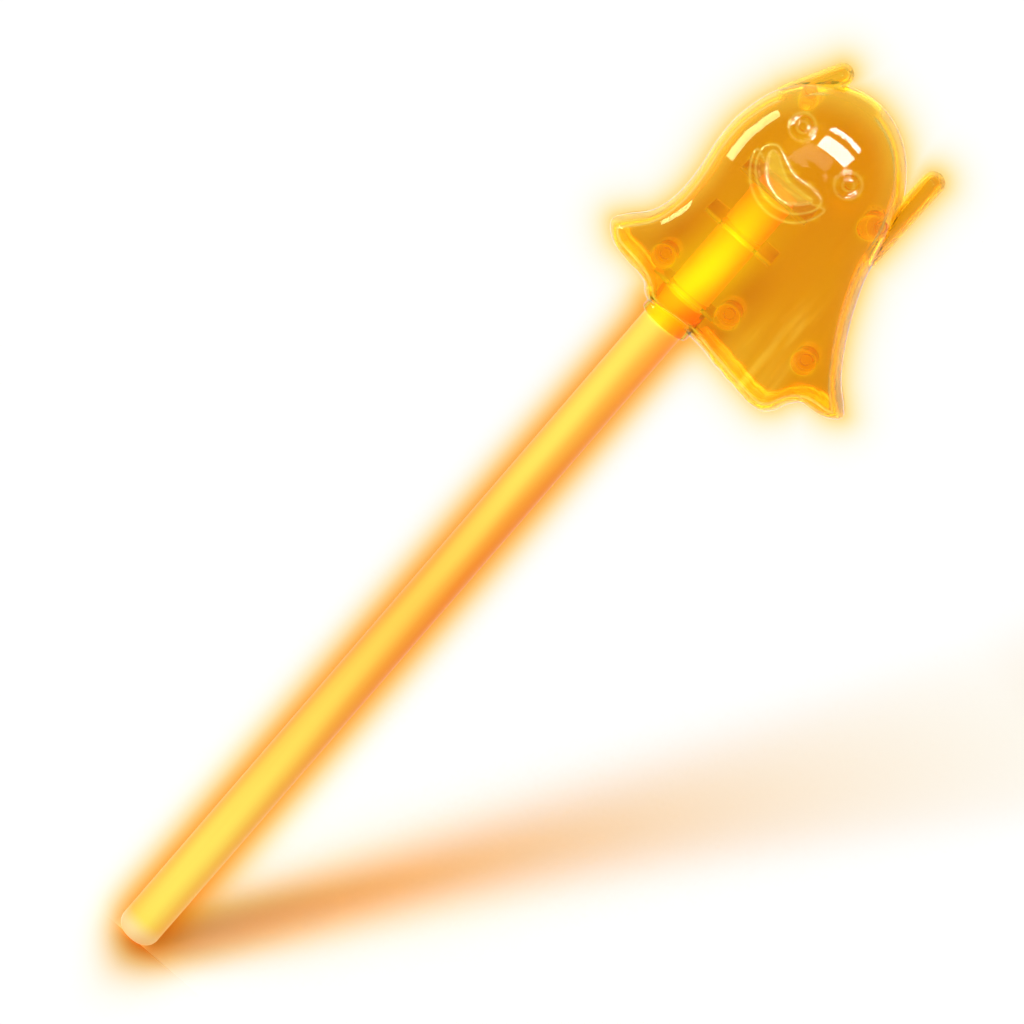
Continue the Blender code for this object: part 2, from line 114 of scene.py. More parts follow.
# Ghost shells: walls, depths and how the skin rounds over, as in the frame
SHELL_WALL = 2.0
COLLAR_WALL = 1.3
COLLAR_HEIGHT = 11.0
COLLAR_CORNER = 1.2
SEAT_GAP = 0.3
STICK_FIT = 0.3
PIN_FIT = 0.25
STICK_BORE = TOP_RADIUS + STICK_FIT
COLLAR_RADIUS = STICK_BORE + COLLAR_WALL
SKIRT_SPARE = 2.0
SKIRT_DEPTH = STICK_BORE + SHELL_WALL + SKIRT_SPARE
HEAD_DEPTH = {-1: 24.0, 1: 21.0}
HEM_FLARE = 1.5
FLARE_HEIGHT = 40.0
EDGE_POWER = 2.1
RISE_START = 8.0
RISE_END = 66.0
HEM_EDGE = 6.0
SKIRT_EDGE = 14.0
HEAD_EDGE = 29.0
HEM_EDGE_TOP = 8.0
SKIRT_EDGE_START = 32.0

# Ghost's outline at the parting plane: x from the stick's axis, z from the collar's lower edge
HEM_LEFT = [(-8.5, 3.6), (-14.5, 7.6), (-21.0, 9.4), (-29.5, 10.6), (-34.0, 13.4), (-35.4, 16.3)]
SIDE_LEFT = [(-33.0, 20.0), (-27.2, 27.2), (-24.7, 36.5), (-24.9, 47.5), (-26.5, 59.0), (-26.2, 71.5)]
HEAD_TOP = [(-21.3, 86.0), (-10.0, 98.2), (5.0, 103.1), (19.5, 99.2), (30.5, 88.8), (36.3, 76.0)]
SIDE_RIGHT = [(39.4, 62.5), (42.0, 52.8), (48.3, 38.5), (56.3, 25.8), (63.2, 18.9), (65.2, 16.0)]
HEM_RIGHT = [(61.5, 13.2), (53.3, 12.0), (49.0, 8.2), (46.0, 2.6), (40.5, 0.0), (24.0, 1.8), (8.5, 3.6)]
OUTLINE = HEM_LEFT + SIDE_LEFT + HEAD_TOP + SIDE_RIGHT + HEM_RIGHT
BODY_SPINE = ((12.0, 20.0), (5.0, 74.0))
ARMS = {
    "right_arm": (((36.2, 62.0), (37.1, 94.7)), (4.2, 4.0)),
    "left_arm": (((-18.0, 84.2), (-9.1, 102.3)), (4.4, 3.9)),
}
ARM_DEPTH = 5.0
ARM_POWER = 1.4

# Posts, ribs and pins inside: x, height and radius of each post
POSTS = [(-12.0, 90.0, 3.3), (31.0, 71.6, 4.4), (-14.6, 19.0, 4.2), (14.6, 17.6, 4.4), (43.5, 22.8, 4.2)]
PIN_RADIUS = 1.8
PIN_LENGTH = 4.0
RIB_HEIGHTS = (13.6, 41.0, 59.6)
RIB_HALF_WIDTH = 14.0
RIB_THICKNESS = 1.6
INSERTION = 58.5

# Face, as steps in the front skin
EYES = ((-7.4, 84.8), (16.6, 80.3))
FACE_SHIFT = (-0.3, -1.7)
EYE_RADIUS = 4.5
EYE_RIM = 1.1
PUPIL_RADIUS = 1.9
PUPIL_OFFSET = (0.4, 0.9)
SMILE = [(-13.9, 69.4), (-12.2, 64.0), (-6.5, 58.4), (1.5, 56.0), (9.5, 58.0), (14.6, 63.6), (15.9, 69.2)]
SMILE_TOP = [(10.0, 67.5), (1.5, 66.0), (-8.0, 68.0)]
LIP = [(-9.6, 74.9), (-12.7, 71.2), (-10.8, 65.2), (-5.0, 60.6), (1.6, 59.2), (8.2, 60.9), (12.6, 65.3)]
LIP_TOP = [(13.9, 69.0), (12.2, 71.4), (7.0, 72.0), (1.5, 71.4), (-4.4, 73.4)]
MOUTH = [(-10.0, 72.2), (-8.6, 68.6), (-5.2, 64.6), (0.4, 62.2), (4.6, 62.4), (8.6, 65.2), (10.9, 68.8)]
MOUTH_TOP = [(5.0, 68.8), (1.0, 68.6), (-3.2, 70.4), (-7.4, 72.8)]
SMILE_RAISE = 0.25
LIP_RAISE = 0.3
LIP_BAND = 1.2
LIP_DIP = 0.2
MOUTH_RECESS = 0.45
EYE_RAISE = 0.5
EYE_DIP = 0.6
PUPIL_RAISE = 0.7
STEP_WIDTH = 0.9
FACE_STEPS = 6

# Skirt: each fold's x at the hem, x at its top, height of its top, crest and width, and the hem's raised lip
FOLDS = [
    (22.0, 19.0, 34.0, 0.55, 2.6),
    (28.0, 24.0, 40.0, 0.7, 2.4),
    (33.5, 28.5, 44.0, 0.5, 2.0),
    (38.0, 33.0, 46.0, 0.7, 2.2),
    (43.0, 37.5, 42.0, 0.5, 2.4),
    (-22.0, -19.0, 36.0, 0.5, 2.6),
]
FOLD_START = (-2.0, 6.0)
HEM_LIP = 0.45
HEM_LIP_WIDTH = 2.6
HEM_LIP_EDGE = 0.7
HEM_LIP_TOP = (20.0, 12.0)

# Mesh detail
SKIN_STEPS = 22
SKIN_RINGS = 104
BACK_STEPS = 12
BACK_RINGS = 36
HOLLOW_STEPS = 8
HOLLOW_RINGS = 20
ARM_SKIN = (10, 24)
ARM_HOLLOW = (8, 16)
LAST_RING = 0.98
CROWDING = 0.75
RELIEF_RINGS = 3.0
ROUND_SIDES = 96
POST_SIDES = 48
BEYOND = 2.0
REACH = 200.0
AXIS_MERGE = 0.00001

# Colours of the plastic and the glow, linear
CORE_YELLOW = (0.99, 0.80, 0.108, 1.0)
CORE_ORANGE = (1.0, 0.29, 0.018, 1.0)
TAIL_CREAM = (0.99, 0.77, 0.36, 1.0)
TAIL_EDGE = (0.97, 0.60, 0.22, 1.0)
INNER_YELLOW = (0.99, 0.62, 0.04, 1.0)
INNER_AMBER = (0.85, 0.33, 0.02, 1.0)
AMBER = (0.865, 0.535, 0.03, 1.0)
AMBER_STREAK = (0.85, 0.49, 0.02, 1.0)
# painted shade: the darker amber of the bands beside the stick, low in the skirt
AMBER_SHADE = (0.81, 0.45, 0.01, 1.0)
AMBER_POST = (0.92, 0.48, 0.01, 1.0)
# painted sheen: the olive-yellow that the rim shows in place of its reflection
AMBER_RIM_SHEEN = (0.70, 0.53, 0.13, 1.0)
AMBER_GLOSS = (1.0, 0.92, 0.78, 1.0)
GLASS_TINTS = ((0.98, 0.99, 0.97, 1.0), (0.93, 0.97, 0.95, 1.0))
CLEAR = (1.0, 1.0, 1.0)
AMBER_THROUGH = (0.97, 0.82, 0.5)
TUBE_THROUGH = (0.955, 0.975, 0.87)
PLUG_THROUGH = (0.99, 0.97, 0.85)

# Moulded surfaces: how fine the ripple is, its share of that along Z, and the haze
MOULDED = {
    "ghost_amber": (90.0, 0.25, 0.02),
    "amber_flow": (230.0, 0.06, 0.02),
    "stick_plastic": (160.0, 0.08, 0.06),
    "plug_plastic": (200.0, 0.5, 0.05),
    "dye": (60.0, 0.2, 0.05),
    "activator": (60.0, 0.2, 0.05),
    "ampoule_glass": (40.0, 0.05, 0.004),
}
# What they add to the surface: roughness, and the bump's height and strength
FINISHES = {
    "ghost_amber": (0.01, 0.05, 0.15),
    "stick_plastic": (0.3, 0.03, 0.4),
    "plug_plastic": (0.25, 0.02, 0.3),
    "ampoule_glass": (0.0, 0.02, 0.3),
}
TUBE_SHARE = 0.3
PLUG_SHARE = 0.5
SPOT_EDGE = 2.5
SPOT_RING = 2.2
STREAK_GAIN = (3.0, 0.3)
FLOW_GAIN = (5.0, -0.1)

# Glow of the bare stick: fades as heights over the tail, and places across the stick
LOW_GLOW = (150.0, 20.0)
HIGH_GLOW = (150.0, 255.0)
HIGH_GLOW_SHARE = 0.7
GLOW_WIDTH = 4.6
GLOW_WIDER_LOW = 2.7
GLOW_MIDDLE = -2.0
GLOW_SHIFT_LOW = 1.6
GLOW_SHIFT_HIGH = -0.8
GLOW_LEAST = 0.7
GLOW_ENDS = 0.3
TONE_SHARE = 0.3
TAIL_GLOW = (9.5, 3.0)
CREAM_MIDDLE = -2.0
CREAM_WIDTH = 5.0
TUBE_GAIN = 0.68
TUBE_GAIN_INSIDE = 0.14
DYE_GAIN = 0.8
ACTIVATOR_GAIN = 0.6

# Hot core inside the ghost: fades as heights over the collar's lower edge
INSIDE_START = (1.0, 6.0)
INNER_LEAN = (2.0, 25.0)
INNER_MIDDLE = -4.0
INNER_SHIFT = 3.4
INNER_WIDTH = 6.0
INNER_TOP = (66.0, 46.0)

# Light and shade in the amber: fades over the collar's lower edge, bands across, and what each one adds
SHADE_BANDS = ((14.5, 5.5), (-17.0, 5.0))
SHADE_BAND_TOP = (52.0, 25.0)
CORE_LEAN = (0.0, 36.0)
CORE_MIDDLE = -4.2
CORE_SHIFT = 5.0
CORE_WIDTH = 8.6
CORE_DEPTH = (24.0, 9.0)
CORE_TOP = (68.0, 38.0)
CORE_BOTTOM = (-6.0, 34.0)
CORE_LIGHT = (0.11, 0.19, 0.0)
RING_LIGHT = (0.04, 0.06, 0.0)
MARK_LIGHTS = {"edge_light": (0.11, 0.22, 0.05), "rim_light": (0.02, 0.015, 0.015)}
# share of the clear amber that the painted rim sheen replaces
RIM_SHEEN_SHARE = 0.5
FLOW_BAND = (34.0, 11.0)
FLOW_LIGHT = (0.06, 0.08, 0.015)

# Lines drawn by light on the ghost: outline, strength of its line and strength inside it
FACE_LINES = ((SMILE + SMILE_TOP, 0.8, 0.0), (LIP + LIP_TOP, 0.9, 0.12), (MOUTH + MOUTH_TOP, 1.0, 0.5))
FACE_LINE_WIDTH = 0.36
FACE_FRONT = 14.0
EYE_LINE = (0.45, 0.45)
PUPIL_LINE = (0.35, 0.4)
FOLD_SHEEN = 0.25
OUTER_SKIN = 8.0
SIDE_SHEEN = 0.3
SIDE_SHEEN_LEAN = 1.3
SIDE_SHEEN_SPAN = (22.0, 60.0)
SIDE_SHEEN_EDGE = (3.0, 8.0)
RIM_EDGE = (0.8, 1.6)
RIM_LINE = (3.0, 0.5)
RIM_GAP = (1.0, 3.0)
RIM_GAP_TOP = 20.0
ARM_RIM = (0.5, 1.5)

# Halo round the wand: optical depth at the outline and reach outwards, and how much of it each colour takes
STICK_HALO = (4.9, 9.75)
GHOST_HALO = (1.5, 4.2)
STICK_HALO_TINT = (0.015, 0.34, 1.0)
GHOST_HALO_TINT = (0.005, 0.25, 1.0)
TAIL_MIDDLE = 0.5
TAIL_FADE = 3.6
HALO_STEP = 1.0
HALO_MARGIN = 34.0
HALO_EDGE = 15.0
HALO_PLANE = 0.3
CONTACT_HALO = 5.0

# Shadow on the floor: depths, reaches to the left and right of its middle, and heights over the tail
CONTACT_TINT = (0.16, 0.46, 1.0)
CONTACT_DEPTH = 2.65
CONTACT_REACH = (8.0, 11.5)
CONTACT_FADE = 4.6
CONTACT_RISE = 28.0
SHADE_TINT = (0.02, 0.39, 1.0)
SHADE_DEPTH = 3.15
SHADE_REACH = (10.3, 11.3)
SHADE_RISE = 25.0
SHADE_START = 8.0
SHADE_SHIFT = 4.5
SHADE_SHIFT_TOP = 110.0
SHADE_SKIRT = (0.16, 20.0)
SHADE_LOSS = 0.83
SHADE_LOSS_SPAN = (30.0, 240.0)
GHOST_SHADE = 0.25

# Camera and stage
CAMERA_RISE = math.radians(10.0)
CAMERA_ROLL = math.radians(40.93)
CAMERA_TARGET = Vector((3.07, 0.0, 134.6)) * MM
CAMERA_DISTANCE = 4.0
PICTURE_WIDTH = 0.3413
SENSOR = 36.0
FLOOR_SIZE = 14.0
FLOOR_WHITE = 0.9
FLOOR_GLOW_END = -100.0
AMBIENT = 0.1
LIGHT_BOUNCES = 32
FLOOR_SUN = 23.4
SUN_RISE = math.radians(8.0)
SUN_HEADING = (0.158, 0.987)
SUN_SPREAD = math.radians(4.0)
KEY_PLACE = (-1.2, -2.2, 1.4)
KEY_TARGET = (0.0, 0.0, 0.15)
KEY_POWER = 68.0
KEY_SIZE = (1.6, 1.6)

# Windows in the ghost's gloss: name, bearing, rise, size, brightness and colour
WINDOW_DISTANCE = 1.6
WINDOWS = [
    ("window", 2.5, 26.0, (1.1, 0.48), 125.0, (1.0, 1.0, 1.0)),
    ("window_top", 2.5, 46.0, (1.15, 0.2), 125.0, (1.0, 1.0, 1.0)),
    ("window_sill", -8.0, 8.0, (0.9, 0.42), 10.0, (1.0, 0.95, 0.8)),
    ("side_strip", -86.0, -8.0, (0.5, 1.6), 50.0, (0.8, 1.0, 0.5)),
]


def smooth_step(value):
    """0 below 0, 1 above 1, and an even swell between them, for numbers and arrays."""
    value = np.clip(value, 0.0, 1.0)
    return value * value * (3.0 - 2.0 * value)


def arc(centre, radius, start, end, steps):
    """Points of a circular arc in a profile, with its angles in degrees."""
    angles = np.radians(np.linspace(start, end, steps + 1))
    return [(centre[0] + radius * math.cos(a), centre[1] + radius * math.sin(a)) for a in angles]


def closed_curve(points, steps):
    """A smooth closed curve through the points, as steps points for each of them."""
    start = np.array(points, float)
    before, end, after = (np.roll(start, shift, axis=0) for shift in (1, -1, -2))
    t = np.linspace(0.0, 1.0, steps, endpoint=False)[None, :, None]
    before, start, end, after = (knots[:, None, :] for knots in (before, start, end, after))
    bend = 2.0 * before - 5.0 * start + 4.0 * end - after
    swing = 3.0 * start - before - 3.0 * end + after
    curve = 0.5 * (2.0 * start + (end - before) * t + bend * t**2 + swing * t**3)
    return curve.reshape(-1, 2)


# Objects


def add_mesh(name, verts, faces):
    mesh = bpy.data.meshes.new(name)
    mesh.from_pydata(verts, [], faces)
    obj = bpy.data.objects.new(name, mesh)
    bpy.context.scene.collection.objects.link(obj)
    return obj


def write_mesh(bm, obj):
    bm.to_mesh(obj.data)
    bm.free()
    return obj


def face_outwards(obj):
    bm = bmesh.new()
    bm.from_mesh(obj.data)
    bmesh.ops.recalc_face_normals(bm, faces=bm.faces)
    return write_mesh(bm, obj)


def drop(obj):
    bpy.data.objects.remove(obj, do_unlink=True)


def make_plain(obj):
    """Turns the evaluated object into a plain mesh without modifiers."""
    bpy.context.view_layer.update()
    evaluated = obj.evaluated_get(bpy.context.evaluated_depsgraph_get())
    mesh = bpy.data.meshes.new_from_object(evaluated)
    obj.modifiers.clear()
    obj.data = mesh
    return obj


def combine(obj, other, operation):
    """Joins or cuts a closed mesh with another, and drops the other."""
    modifier = obj.modifiers.new("cut", "BOOLEAN")
    modifier.object = other
    modifier.operation = operation
    modifier.solver = "MANIFOLD"
    make_plain(obj)
    drop(other)
    return obj


def smooth(obj, degrees=35.0):
    obj.data.shade_smooth()
    obj.data.set_sharp_from_angle(angle=math.radians(degrees))


# Turned pieces, by Geometry Nodes


def new_node(tree, kind, place, **settings):
    node = tree.nodes.new(kind)
    node.location = place
    for key, value in settings.items():
        setattr(node, key, value)
    return node


def turned_tree():
    """Turns a line of profile points, with their radius as x, about Z."""
    tree = bpy.data.node_groups.new("turned_piece", "GeometryNodeTree")
    tree.interface.new_socket("Geometry", in_out="INPUT", socket_type="NodeSocketGeometry")
    sides = tree.interface.new_socket("Sides", in_out="INPUT", socket_type="NodeSocketInt")
    sides.default_value = ROUND_SIDES
    tree.interface.new_socket("Material", in_out="INPUT", socket_type="NodeSocketMaterial")
    tree.interface.new_socket("Geometry", in_out="OUTPUT", socket_type="NodeSocketGeometry")
    link = tree.links.new
    entry = new_node(tree, "NodeGroupInput", (-1200, 0))
    size = new_node(tree, "GeometryNodeAttributeDomainSize", (-1000, 200))
    link(entry.outputs["Geometry"], size.inputs[0])
    span = new_node(tree, "ShaderNodeMath", (-800, 200), operation="SUBTRACT")
    span.inputs[1].default_value = 1.0
    link(size.outputs["Point Count"], span.inputs[0])
    around = new_node(tree, "ShaderNodeMath", (-800, 0), operation="ADD")
    around.inputs[1].default_value = 1.0
    link(entry.outputs["Sides"], around.inputs[0])
    grid = new_node(tree, "GeometryNodeMeshGrid", (-600, 200))
    grid.inputs["Size Y"].default_value = 1.0
    link(span.outputs[0], grid.inputs["Size X"])
    link(size.outputs["Point Count"], grid.inputs["Vertices X"])
    link(around.outputs[0], grid.inputs["Vertices Y"])
    place = new_node(tree, "GeometryNodeInputPosition", (-1000, -200))
    split = new_node(tree, "ShaderNodeSeparateXYZ", (-800, -200))
    link(place.outputs[0], split.inputs[0])
    row = new_node(tree, "ShaderNodeMath", (-600, -200), operation="MULTIPLY_ADD")
    row.inputs[1].default_value = 0.5
    link(span.outputs[0], row.inputs[0])
    link(split.outputs["X"], row.inputs[2])
    whole = new_node(tree, "ShaderNodeMath", (-400, -200), operation="ROUND")
    link(row.outputs[0], whole.inputs[0])
    turn = new_node(tree, "ShaderNodeMath", (-600, -400), operation="MULTIPLY")
    turn.inputs[1].default_value = 2.0 * math.pi
    link(split.outputs["Y"], turn.inputs[0])
    sample = new_node(tree, "GeometryNodeSampleIndex", (-200, -100), data_type="FLOAT_VECTOR")
    link(entry.outputs["Geometry"], sample.inputs["Geometry"])
    link(place.outputs[0], sample.inputs["Value"])
    link(whole.outputs[0], sample.inputs["Index"])
    rotate = new_node(tree, "ShaderNodeVectorRotate", (0, -100), rotation_type="Z_AXIS")
    link(sample.outputs["Value"], rotate.inputs["Vector"])
    link(turn.outputs[0], rotate.inputs["Angle"])
    shift = new_node(tree, "GeometryNodeSetPosition", (200, 100))
    link(grid.outputs["Mesh"], shift.inputs["Geometry"])
    link(rotate.outputs[0], shift.inputs["Position"])
    close = new_node(tree, "GeometryNodeMergeByDistance", (400, 100))
    close.inputs["Distance"].default_value = AXIS_MERGE
    link(shift.outputs[0], close.inputs["Geometry"])
    realize = new_node(tree, "GeometryNodeRealizeInstances", (600, 100))
    link(close.outputs[0], realize.inputs[0])
    finish = new_node(tree, "GeometryNodeSetMaterial", (800, 100))
    link(realize.outputs[0], finish.inputs["Geometry"])
    link(entry.outputs["Material"], finish.inputs["Material"])
    leave = new_node(tree, "NodeGroupOutput", (1000, 100))
    link(finish.outputs[0], leave.inputs[0])
    return tree


def set_input(modifier, name, value):
    """Sets a modifier's input by its socket's identifier."""
    for item in modifier.node_group.interface.items_tree:
        if item.item_type == "SOCKET" and item.in_out == "INPUT" and item.name == name:
            modifier[item.identifier] = value


def turned(name, profile, tree, material, sides=ROUND_SIDES):
    """A closed piece of revolution from (radius, height) points."""
    points = [(radius * MM, 0.0, height * MM) for radius, height in profile]
    obj = add_mesh(name, points, [])
    modifier = obj.modifiers.new("turned", "NODES")
    modifier.node_group = tree
    set_input(modifier, "Sides", sides)
    set_input(modifier, "Material", material)
    make_plain(obj)
    face_outwards(obj)
    smooth(obj)
    return obj


def stick_radius(height):
    """The tube's outer radius, which grows a little from the tail to the top."""
    return TAIL_RADIUS + (TOP_RADIUS - TAIL_RADIUS) * (height - TAIL) / (TUBE_TOP - TAIL)


def tube_profile():
    """Up the inside from the floor, over the rounded rim, down the outside and round the tail."""
    inner_corner = TAIL_CORNER - TUBE_WALL
    floor = TAIL + TUBE_WALL
    corner_radius = stick_radius(TAIL + TAIL_CORNER)
    profile = [(0.0, floor)]
    profile += arc((corner_radius - TAIL_CORNER, floor + inner_corner), inner_corner, -90, 0, 16)
    inside = TOP_RADIUS - TUBE_WALL
    profile += arc((inside + RIM_ROUND, TUBE_TOP - RIM_ROUND), RIM_ROUND, 180, 90, 5)
    profile += arc((TOP_RADIUS - RIM_ROUND, TUBE_TOP - RIM_ROUND), RIM_ROUND, 90, 0, 5)
    profile += arc((corner_radius - TAIL_CORNER, TAIL + TAIL_CORNER), TAIL_CORNER, 0, -90, 20)
    return profile + [(0.0, TAIL)]


def plug_profile():
    """Round the dish in the cap, over its edge, and down the body that sits in the tube."""
    base = STICK_TOP - PLUG_FLANGE
    dish = STICK_TOP - PLUG_DISH_DEPTH
    corner, edge = PLUG_DISH_CORNER, PLUG_ROUND
    profile = [(0.0, dish)] + arc((PLUG_DISH_RADIUS - corner, dish + corner), corner, -90, 0, 5)
    profile += arc((TOP_RADIUS - edge, STICK_TOP - edge), edge, 90, 0, 5)
    profile += [(TOP_RADIUS, base), (PLUG_BODY_RADIUS, base)]
    return profile + [(PLUG_BODY_RADIUS, PLUG_LOW), (0.0, PLUG_LOW)]


def dye_profile():
    """A ring of liquid round the ampoule, with a dip where it clings to both walls."""
    inner = AMPOULE_RADIUS + SEAT_GAP
    low = stick_radius(DYE_LOW) - TUBE_WALL - SEAT_GAP
    middle = (inner + DYE_RADIUS) / 2
    return [
        (inner, DYE_TOP),
        (middle, DYE_TOP - MENISCUS),
        (DYE_RADIUS, DYE_TOP),
        (low, DYE_LOW),
        (inner, DYE_LOW),
        (inner, DYE_TOP),
    ]


def ampoule_profile():
    """Up the bore from the round foot to the sealed tip, and down the outside."""
    bore = AMPOULE_RADIUS - AMPOULE_WALL
    foot = (0.0, AMPOULE_LOW + AMPOULE_RADIUS)
    shoulder = AMPOULE_TOP - AMPOULE_SHOULDER
    neck = AMPOULE_TOP - AMPOULE_TIP_LENGTH
    profile = arc(foot, bore, -90, 0, 14)
    profile += [(bore, shoulder), (AMPOULE_TIP_BORE, neck), (AMPOULE_TIP_BORE, AMPOULE_TOP)]
    profile += [(AMPOULE_TIP_RADIUS, AMPOULE_TOP), (AMPOULE_TIP_RADIUS, neck), (AMPOULE_RADIUS, shoulder)]
    profile += arc(foot, AMPOULE_RADIUS, 0, -90, 14)
    profile[0] = (0.0, profile[0][1])
    profile[-1] = (0.0, profile[-1][1])
    return profile


def activator_profile():
    """The ampoule's filling, with a curved top and the round foot."""
    foot = (0.0, AMPOULE_LOW + AMPOULE_RADIUS)
    profile = [(0.0, ACTIVATOR_TOP - MENISCUS), (ACTIVATOR_RADIUS * 0.6, ACTIVATOR_TOP - MENISCUS * 0.7)]
    profile += [(ACTIVATOR_RADIUS, ACTIVATOR_TOP)]
    profile += arc(foot, ACTIVATOR_RADIUS, 0, -90, 14)
    profile[-1] = (0.0, profile[-1][1])
    return profile


# Ghost's forms


def body_depth(height, side):
    """How far the skin stands from the parting plane: shallow at the skirt and deep at the head."""
    rise = smooth_step((height - RISE_START) / (RISE_END - RISE_START))
    flare = 1.0 - smooth_step(height / FLARE_HEIGHT)
    return SKIRT_DEPTH + (HEAD_DEPTH[side] - SKIRT_DEPTH) * rise + HEM_FLARE * flare


def body_edge(height):
    """How far in from the outline the skin reaches its full depth."""
    side = smooth_step((height - HEM_EDGE_TOP) / (SKIRT_EDGE_START - HEM_EDGE_TOP))
    head = smooth_step((height - SKIRT_EDGE_START) / (RISE_END - SKIRT_EDGE_START))
    return HEM_EDGE + (SKIRT_EDGE - HEM_EDGE) * side + (HEAD_EDGE - SKIRT_EDGE) * head


def arm_outline(line, radii, steps):
    """A long drop round the line from the root to the tip."""
    root, tip = (Vector(point) for point in line)
    bearing = math.degrees(math.atan2(tip.y - root.y, tip.x - root.x))
    points = arc(tip, radii[1], bearing - 90, bearing + 90, steps)
    points += arc(root, radii[0], bearing + 90, bearing + 270, steps)
    return np.array(points)


def form_of(label, side, steps, rings):
    """What a half form of the body or an arm is made from."""
    if label == "body":
        return {
            "outline": closed_curve(OUTLINE, steps),
            "rings": rings,
            "spine": np.array(BODY_SPINE),
            "depth": lambda height: body_depth(height, side),
            "edge": body_edge,
            "power": EDGE_POWER,
        }
    line, radii = ARMS[label]
    return {
        "outline": arm_outline(line, radii, steps * 2),
        "rings": rings // 2,
        "spine": np.array(line),
        "depth": lambda height: ARM_DEPTH + 0.0 * height,
        "edge": lambda height: REACH + 0.0 * height,
        "power": ARM_POWER,
    }


def to_spine(points, spine):
    """The nearest place on the spine for each point."""
    run = spine[1] - spine[0]
    along = np.clip(((points - spine[0]) @ run) / (run @ run), 0.0, 1.0)
    return spine[0] + along[:, None] * run


def signed_distance(points, outline):
    """Distance from each point to a closed outline, above 0 inside it."""
    best = np.full(len(points), 1e9)
    inside = np.zeros(len(points), bool)
    for a, b in zip(outline, np.roll(outline, -1, axis=0)):
        run = b - a
        along = np.clip(((points - a) @ run) / max(run @ run, 1e-12), 0.0, 1.0)
        best = np.minimum(best, np.linalg.norm(points - a - along[:, None] * run, axis=1))
        crosses = (a[1] > points[:, 1]) != (b[1] > points[:, 1])
        reach = a[0] + (points[:, 1] - a[1]) * run[0] / (run[1] if abs(run[1]) > 1e-12 else 1e-12)
        inside ^= crosses & (points[:, 0] < reach)
    return np.where(inside, best, -best)


def step_up(distance):
    """A rounded step, from 0 outside an outline to 1 inside it."""
    return smooth_step(distance / STEP_WIDTH + 0.5)


def face_relief(points):
    """How far the eyes and the smile stand out of the front skin."""
    points = points - np.array(FACE_SHIFT)
    smile, lip, mouth = (
        signed_distance(points, closed_curve(outline, FACE_STEPS))
        for outline in (SMILE + SMILE_TOP, LIP + LIP_TOP, MOUTH + MOUTH_TOP)
    )
    relief = SMILE_RAISE * step_up(smile) * (1.0 - step_up(lip))
    relief += LIP_RAISE * step_up(lip) - LIP_DIP * step_up(lip - LIP_BAND)
    relief -= MOUTH_RECESS * step_up(mouth)
    for eye in EYES:
        away = np.linalg.norm(points - np.array(eye), axis=1)
        pupil = np.linalg.norm(points - np.array(eye) - np.array(PUPIL_OFFSET), axis=1)
        relief += EYE_RAISE * step_up(EYE_RADIUS - away) - EYE_DIP * step_up(EYE_RADIUS - EYE_RIM - away)
        relief += PUPIL_RAISE * step_up(PUPIL_RADIUS - pupil)
    return relief


def skirt_relief(points):
    """Soft upright folds of the skirt."""
    relief = np.zeros(len(points))
    start, rise = FOLD_START
    for low, high, top, crest, width in FOLDS:
        share = np.clip(points[:, 1] / top, 0.0, 1.0)
        middle = low + (high - low) * share
        fade = (1.0 - smooth_step(points[:, 1] / top)) * smooth_step((points[:, 1] - start) / rise)
        relief += crest * fade * np.exp(-(((points[:, 0] - middle) / width) ** 2))
    return relief


def ring_share(ring, rings):
    """How far in a ring lies: close together at the outline, then even."""
    part = ring / rings
    return LAST_RING * (part - CROWDING * math.sin(math.pi * part) / math.pi)


def skin_points(form, side, inset, relief, plane):
    """Rings of skin points from the outline in over the spine, each ring as an (n, 3) array."""
    outline = form["outline"]
    inward = to_spine(outline, form["spine"]) - outline
    length = np.linalg.norm(inward, axis=1)
    unit = inward / length[:, None]
    reach = length - inset
    edge = np.minimum(form["edge"](outline[:, 1]) - inset, reach)
    rings = []
    for ring in range(form["rings"] + 1):
        share = ring_share(ring, form["rings"])
        place = outline + unit * (inset + reach * share)[:, None]
        rest = 1.0 - np.minimum(reach * share / edge, 1.0)
        rise = (1.0 - rest ** form["power"]) ** (1.0 / form["power"])
        depth = np.maximum((form["depth"](place[:, 1]) - inset) * rise, plane)
        rings.append(np.stack([place[:, 0], side * depth, place[:, 1]], axis=1))
    rings = np.array(rings)
    if relief:
        around = np.roll(rings, -1, axis=1) - np.roll(rings, 1, axis=1)
        across = np.gradient(rings, axis=0)
        normals = np.cross(around, across)
        normals /= np.maximum(np.linalg.norm(normals, axis=2, keepdims=True), 1e-9)
        outward = np.sign(normals[-1, :, 1].mean()) * side
        flat = rings[:, :, [0, 2]].reshape(-1, 2)
        height = skirt_relief(flat)
        if side < 0:
            height += face_relief(flat)
        height = height.reshape(rings.shape[:2])
        from_edge = np.linalg.norm(rings[:, :, [0, 2]] - outline[None], axis=2)
        top, fade = HEM_LIP_TOP
        low = 1.0 - smooth_step((outline[:, 1] - top) / fade)
        height += HEM_LIP * low * (1.0 - smooth_step((from_edge - HEM_LIP_WIDTH) / HEM_LIP_EDGE))
        height *= smooth_step(np.arange(len(rings)) / RELIEF_RINGS)[:, None]
        rings = rings + normals * outward * height[:, :, None]
    return rings


